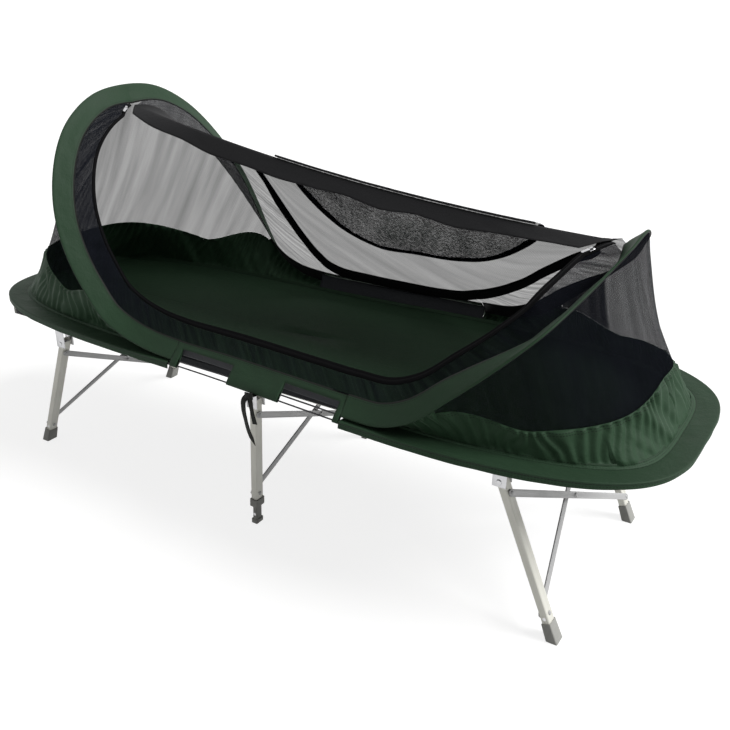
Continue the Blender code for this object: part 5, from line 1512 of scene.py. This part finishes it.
class TENT_OT_bed_cloth(bpy.types.Operator):
    """Bed cloth stretched over the rails, with a gathered flap over each end bar"""
    bl_idname = "tent.bed_cloth"
    bl_label = "Bed cloth"

    def execute(self, context):
        outer = RAIL_SPACING / 2 + RAIL_WIDTH / 2 + CLEARANCE + BED_CLOTH / 2
        top = DECK_TOP - BED_CLOTH / 2
        bend = 0.002
        corner = [(outer - bend + bend * math.cos(a), top - bend + bend * math.sin(a))
                  for a in np.radians(np.linspace(0, 90, 5))]
        side = [(outer, z) for z in np.linspace(RAIL_BOTTOM + HEM_RISE, top - bend, 6)[:-1]]
        deck = [(y, top) for y in np.linspace(outer - bend, 0.0, 16)[1:]]
        right = np.array(side + corner + deck)
        section = np.concatenate((right * (-1, 1), right[-2::-1]))
        half = BED_LENGTH / 2 - END_CAP_LENGTH - 2 * CLEARANCE
        x = np.linspace(-half, half, 160)
        grid = np.concatenate((x[:, None, None] + np.zeros((1, len(section), 1)),
                               section[None] + np.zeros((160, 1, 1))), axis=-1)
        slack = soft_noise(x[:, None] / 0.07, section[None, :, 0] / 0.05, 141)
        flat_part = np.clip((outer - 0.012 - np.abs(section[:, 0])) / 0.05, 0.0, 1.0)
        grid[..., 2] += 0.00025 * (slack - 1) * flat_part
        hem = np.minimum(half - np.abs(x)[:, None], 9.0) + np.zeros((160, len(section)))
        out = np.stack((np.zeros(len(section)), section[:, 0] * 3, np.full(len(section), 0.4)), -1)
        piece = lay_cloth("cloth_bed", grid, "bed_cloth", BED_CLOTH * 0.9, out, "dark_cloth",
                          "bed_fabric", hem=hem)
        flaps = [self.flap(end, sign, half) for end, sign in (("head", -1), ("foot", 1))]
        declare(piece, grid, "stretched", ["rail_near_eased", "rail_far_eased"], with_pieces=flaps)
        return {"FINISHED"}

    def flap(self, end, sign, half):
        """The cloth's end, which hangs over the end bar between the rails."""
        drop = settings("bed_sizes").flap
        y = np.linspace(-0.262, 0.262, 110)
        start_x, bar_x = half - 0.006, BED_LENGTH / 2 + 0.0035
        path = [(start_x, DECK_TOP + 0.0001), (half + 0.004, DECK_TOP + 0.0002),
                (bar_x - 0.004, DECK_TOP - 0.0005), (bar_x - 0.0005, DECK_TOP - 0.004)]
        path += [(bar_x, z) for z in np.linspace(DECK_TOP - 0.010, DECK_TOP - drop, 12)]
        path = np.array(path)
        s = even(len(path))
        gathers = 1 + soft_noise(y[:, None] / 0.018, s[None, :] * 1.2, 151 + sign)
        out = 0.0026 * gathers * np.clip((s - 0.2) / 0.5, 0.0, 1.0)[None, :]
        grid = np.zeros((len(y), len(path), 3))
        grid[..., 0] = sign * (path[None, :, 0] + out)
        grid[..., 1] = y[:, None]
        ragged = 0.006 * soft_noise(y[:, None] / 0.05, 0.0, 157) * s[None, :] ** 2
        grid[..., 2] = path[None, :, 1] + ragged
        return lay_cloth("cloth_bed_flap_" + end, grid, "bed_cloth", 0.0010,
                         np.array((sign, 0.0, 0.4)), "dark_cloth")


# Rigid pieces

FLAT_ANGLE = math.radians(1.5)
EDGE_ANGLE = math.radians(28)
SMOOTH_ANGLE = math.radians(40)


def deselect_all():
    for thing in list(bpy.context.selected_objects):
        thing.select_set(False)


def apply_modifiers(piece):
    deselect_all()
    bpy.context.view_layer.objects.active = piece
    piece.select_set(True)
    for step in list(piece.modifiers):
        bpy.ops.object.modifier_apply(modifier=step.name)


def eased_copy(node, radius, finish, slot, segments=3):
    """A CAD piece with its edges rounded, which then stands for it."""
    source = frame["nodes"][node]
    mesh = source.data.copy()
    mesh.materials.clear()
    with editing(mesh) as shape:
        bmesh.ops.remove_doubles(shape, verts=shape.verts, dist=2e-5)
        bmesh.ops.dissolve_limit(shape, angle_limit=FLAT_ANGLE, verts=shape.verts,
                                 edges=shape.edges)
    piece = add_object(node + "_eased", mesh)
    rounding = piece.modifiers.new("Rounding", "BEVEL")
    rounding.width = radius
    rounding.segments = segments
    rounding.limit_method = "ANGLE"
    rounding.angle_limit = EDGE_ANGLE
    apply_modifiers(piece)
    piece.data.materials.append(material(finish))
    bpy.ops.object.shade_smooth_by_angle(angle=SMOOTH_ANGLE)
    return seat(piece, slot, node, body=source["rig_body"])


def rivet_head(name, place, direction, body):
    """A domed rivet head, turned to face the direction."""
    radius = settings("bed_sizes").rivet
    deselect_all()
    turn = Vector((0, 0, 1)).rotation_difference(Vector(direction)).to_euler()
    bpy.ops.mesh.primitive_cylinder_add(vertices=20, radius=radius, depth=RIVET_DEPTH,
                                        rotation=turn, location=place)
    head = bpy.context.object
    bpy.ops.object.mode_set(mode="EDIT")
    shape = bmesh.from_edit_mesh(head.data)
    for face in shape.faces:
        face.select = face.normal.z > 0.9
    shape.select_flush_mode()
    bmesh.update_edit_mesh(head.data)
    for share in (0.35, 0.25):
        bpy.ops.mesh.inset(thickness=radius * share)
    bpy.ops.object.mode_set(mode="OBJECT")
    with editing(head.data) as shape:
        top = max(v.co.z for v in shape.verts)
        for vert in shape.verts:
            if vert.co.z > top - 1e-6:
                off = math.hypot(vert.co.x, vert.co.y) / radius
                vert.co.z = top - RIVET_DOME * off * off
    bpy.ops.object.transform_apply(location=True, rotation=True, scale=True)
    head.name = name
    head.data.materials.append(material("plated_metal"))
    bpy.ops.object.shade_smooth_by_angle(angle=math.radians(50))
    seat(head, "bright_metal", body=body)


class TENT_OT_bed_frame(bpy.types.Operator):
    """Rails, end bars and leg brackets"""
    bl_idname = "tent.bed_frame"
    bl_label = "Bed frame"

    def execute(self, context):
        edge = settings("bed_sizes").edge
        for side in ("near", "far"):
            eased_copy("rail_" + side, edge, "rail_aluminium", "rail_metal")
            for end in ("head", "middle", "foot"):
                eased_copy("bracket_" + end + "_" + side, edge * 0.5, "bracket_zinc",
                           "bracket_metal", 2)
        for end in ("head", "foot"):
            eased_copy("end_bar_" + end, edge, "moulded_plastic", "grey_plastic")
        return {"FINISHED"}


class TENT_OT_legs(bpy.types.Operator):
    """Legs, cross braces, feet and the rivets that hold the feet"""
    bl_idname = "tent.legs"
    bl_label = "Legs"

    def execute(self, context):
        sizes = settings("bed_sizes")
        for label, hinge, lean in (("head", -END_HINGE_X, -END_SPLAY),
                                   ("middle", MIDDLE_HINGE_X, -MIDDLE_SPLAY),
                                   ("foot", END_HINGE_X, END_SPLAY)):
            for side in ("near", "far"):
                eased_copy(label + "_leg_" + side, sizes.edge, label + "_leg_aluminium",
                           "leg_metal")
                rounding = 0.0034 if label == "middle" else 0.0022
                eased_copy(label + "_foot_" + side, rounding, "moulded_plastic", "grey_plastic", 4)
            for letter in "ab":
                eased_copy(label + "_brace_" + letter, 0.0006, "brace_aluminium", "leg_metal", 2)
            run = PIN_HEIGHT / math.cos(lean)
            above = 0.030 if label == "middle" else SHOE_HEIGHT + 0.013
            half = 0.012 if label == "middle" else LEG_WIDTH / 2
            along = (run - above) * np.array((math.sin(lean), -math.cos(lean)))
            for side, sign in (("near", -1), ("far", 1)):
                place = (hinge + along[0], sign * (RAIL_SPACING / 2 + half + 0.0004),
                         PIN_HEIGHT + along[1])
                rivet_head("rivet_" + label + "_" + side, place, (0, sign, 0), "legs_" + label)
        return {"FINISHED"}


class TENT_OT_sliders(bpy.types.Operator):
    """Zip sliders and their pulls"""
    bl_idname = "tent.sliders"
    bl_label = "Sliders"

    def execute(self, context):
        for label in ("near_head", "near_foot", "far_foot"):
            for kind in ("slider_", "pull_"):
                eased_copy(kind + label, 0.00035, "plated_metal", "bright_metal", 2)
        return {"FINISHED"}


# Tie straps

def strap_grid(points, width, twist=None, tip=0.0):
    """A flat strap, seven points wide; twist turns it, and its last stretch may be cut to a tip."""
    curve = Curve(points)
    shares = even(max(24, int(curve.length / STRAP_STEP)))
    path = curve.at(shares)
    if tip:
        width = width * np.clip((1.0 - shares) * curve.length / tip, 0.12, 1.0)
    way = unit(np.gradient(path, axis=0))
    side = np.array((1.0, 0.0, 0.0)) + np.zeros_like(path)
    if twist is not None:
        turn = np.interp(even(len(path)), even(len(twist)), twist)
        other = np.cross(way, side)
        side = np.cos(turn)[:, None] * side + np.sin(turn)[:, None] * other
    side = unit(side - dot(side, way) * way)
    wide = (width + np.zeros(len(path)))[:, None] * np.linspace(-0.5, 0.5, 7)
    return path[:, None] + wide[..., None] * side[:, None]


class TENT_OT_straps(bpy.types.Operator):
    """Webbing straps knotted round the hoops, with two loose tails each"""
    bl_idname = "tent.straps"
    bl_label = "Tie straps"

    def execute(self, context):
        hem = RAIL_SPACING / 2 + RAIL_WIDTH / 2 + BED_CLOTH + 2 * CLEARANCE + STRAP_HALF
        under = RAIL_BOTTOM - CLEARANCE - STRAP_HALF
        inside = RAIL_SPACING / 2 - RAIL_WIDTH / 2 - CLEARANCE - STRAP_HALF
        hoop_y = float(base_half_width(STRAP_X))
        knot = hoop_y + KNOT_OUT
        below = BASE_HEIGHT - 0.0075
        for side, sign in (("near", -1), ("far", 1)):
            loop = [(knot - 0.004, below), (hoop_y - 0.023, below - 0.0045),
                    (hem + 0.0045, below - 0.0080), (hem, below - 0.0125),
                    (hem, under + 0.0015), (hem - 0.0015, under),
                    (inside + 0.0015, under), (inside, under + 0.0015), (inside, under + 0.018)]
            grids = [("loop", strap_grid([(STRAP_X, sign * y, z) for y, z in loop],
                                         STRAP_WIDTH))]
            for label, tail, tip in (("tail_long", LONG_TAIL, STRAP_WIDTH),
                                     ("tail_short", SHORT_TAIL, 0.0)):
                points = [(STRAP_X + x, sign * (knot + y), z) for x, y, z in tail]
                grids.append((label, strap_grid(points, TAIL_WIDTH, TAIL_TURN, tip)))
            grids.append(("knot", self.knot(sign, knot)))
            pieces = [lay_cloth("strap_" + side + "_" + label, grid, "ribbed_webbing",
                                WEBBING_CLOTH, np.array((0.0, sign, 0.3)), "dark_cloth")
                      for label, grid in grids]
            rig.replaces(pieces[0], "tie_strap_" + side)
        return {"FINISHED"}

    def knot(self, sign, knot):
        """The turn of webbing that crosses over the tails, pulled tight."""
        turns = np.linspace(0.0, 2 * math.pi, 40)
        pinch = 0.0085 + 0.0012 * np.cos(2 * turns)
        path = np.stack((STRAP_X + 0.0115 * np.cos(turns),
                         sign * (knot + 0.0015 + 0.0060 * np.sin(turns)),
                         BASE_HEIGHT - 0.0045 + 0.0035 * np.sin(turns + 0.6)), -1)
        drop = np.stack((0.15 * np.sin(turns), np.zeros(40), np.ones(40)), -1)
        return path[:, None] + np.linspace(-1, 1, 7)[:, None] * (pinch[:, None] * drop)[:, None]


# Studio

class TENT_OT_studio(bpy.types.Operator):
    """Pale floor, soft lights, white surroundings and the camera"""
    bl_idname = "tent.studio"
    bl_label = "Studio"

    def execute(self, context):
        self.floor()
        self.lights()
        self.world()
        self.camera()
        bpy.context.scene.view_settings.view_transform = "Standard"
        return {"FINISHED"}

    def floor(self):
        deselect_all()
        bpy.ops.mesh.primitive_plane_add(size=400.0, location=(0.0, 0.0, -0.0005))
        floor = bpy.context.object
        floor.name = "studio_floor"
        paper, add, shader = new_material("matt_paper", 0.9)
        base = tuple(settings("studio").floor)
        place = add("TexCoord", output="Object")
        fibre = add("TexNoise", {"Vector": place, "Scale": 3.0})
        fill(shader, {"Base Color": add("Mix", {0: fibre, 6: scaled(base, 0.99), 7: base}, 2,
                                        data_type="RGBA")})
        glow = add("Math", {0: self.seen(add), 1: settings("studio").paper}, operation="MULTIPLY")
        glow = add("Emission", {"Color": (1.0, 1.0, 1.0), "Strength": glow})
        both = add("AddShader", {0: shader.outputs[0], 1: glow})
        fill(paper.node_tree.nodes["Material Output"], {"Surface": both})
        floor.data.materials.append(paper)
        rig.stage(floor)

    def seen(self, add):
        """1 for what the camera sees straight, through netting or in a gloss."""
        seen = 0.0
        for kind in ("Camera", "Transmission", "Glossy"):
            ray = add("LightPath", output="Is " + kind + " Ray")
            seen = add("Math", {0: ray, 1: seen}, operation="MAXIMUM")
        return seen

    def lights(self):
        """A wide soft key from the foot end and above, and a weak fill from the head end."""
        studio = settings("studio")
        for name, kind, place, power in (("key", "SUN", (3.4, 1.1, 4.0), studio.key),
                                         ("fill", "AREA", (-2.6, -3.6, 2.6), studio.fill)):
            data = bpy.data.lights.new(name, kind)
            data.energy = power
            if kind == "SUN":
                data.angle = math.radians(32)
            else:
                data.size = 3.2
            self.aim(add_object(name, data), place, Vector((0.0, 0.0, 0.5)) - Vector(place))

    def aim(self, thing, place, way):
        """Put a lamp or the camera in its place, looking along the way given."""
        thing.location = place
        thing.rotation_euler = way.to_track_quat("-Z", "Y").to_euler()

    def world(self):
        world = bpy.data.worlds.new("studio")
        bpy.context.scene.world = world
        world.use_nodes = True
        add = partial(add_node, world.node_tree)
        level = add("MapRange", {0: self.seen(add), 3: settings("studio").ambient, 4: 1.0})
        fill(world.node_tree.nodes["Background"], {"Color": (1.0, 1.0, 1.0), "Strength": level})

    def camera(self):
        data = bpy.data.cameras.new("camera")
        data.sensor_width = SENSOR_WIDTH
        data.sensor_fit = "HORIZONTAL"
        data.lens = FOCAL_LENGTH / PICTURE_WIDTH * SENSOR_WIDTH
        camera = add_object("camera", data)
        self.aim(camera, CAMERA_PLACE, Vector(CAMERA_WAY))
        bpy.context.scene.camera = camera


STEPS = (
    TENT_OT_studio, TENT_OT_bed_frame, TENT_OT_legs, TENT_OT_bed_cloth, TENT_OT_hoops,
    TENT_OT_end_sleeves, TENT_OT_side_sleeves, TENT_OT_floor, TENT_OT_gussets, TENT_OT_tubs,
    TENT_OT_end_nets, TENT_OT_zips, TENT_OT_border_nets, TENT_OT_ridge, TENT_OT_back_door,
    TENT_OT_front_door, TENT_OT_sliders, TENT_OT_straps,
)


class TENT_PT_panel(bpy.types.Panel):
    """Sizes, colours and steps of the net tent"""
    bl_idname = "TENT_PT_panel"
    bl_label = "Net tent"
    bl_space_type = "VIEW_3D"
    bl_region_type = "UI"
    bl_category = "Net Tent"

    def draw(self, context):
        for group, _ in GROUPS:
            box = self.layout.box()
            data = getattr(context.scene, group)
            for key in data.__annotations__:
                box.prop(data, key)
        for step in STEPS:
            self.layout.operator(step.bl_idname)


GROUPS = (("tent_sizes", TentSizes), ("tent_colours", TentColours), ("bed_sizes", BedSizes),
          ("bed_colours", BedColours), ("studio", StudioSettings))


def register():
    for name, group in GROUPS:
        bpy.utils.register_class(group)
        setattr(bpy.types.Scene, name, PointerProperty(type=group))
    for step in STEPS:
        bpy.utils.register_class(step)
    bpy.utils.register_class(TENT_PT_panel)


def unregister():
    bpy.utils.unregister_class(TENT_PT_panel)
    for step in reversed(STEPS):
        bpy.utils.unregister_class(step)
    for name, group in reversed(GROUPS):
        delattr(bpy.types.Scene, name)
        bpy.utils.unregister_class(group)


def main():
    register()
    for step in STEPS:
        category, name = step.bl_idname.split(".")
        getattr(getattr(bpy.ops, category), name)()
    boxes = {"cad": cad_box, "visual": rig.bounds()}
    with open("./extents.json", "w") as out:
        json.dump({name: [list(map(float, corner)) for corner in box]
                   for name, box in boxes.items()}, out)


if __name__ == "__main__":
    main()
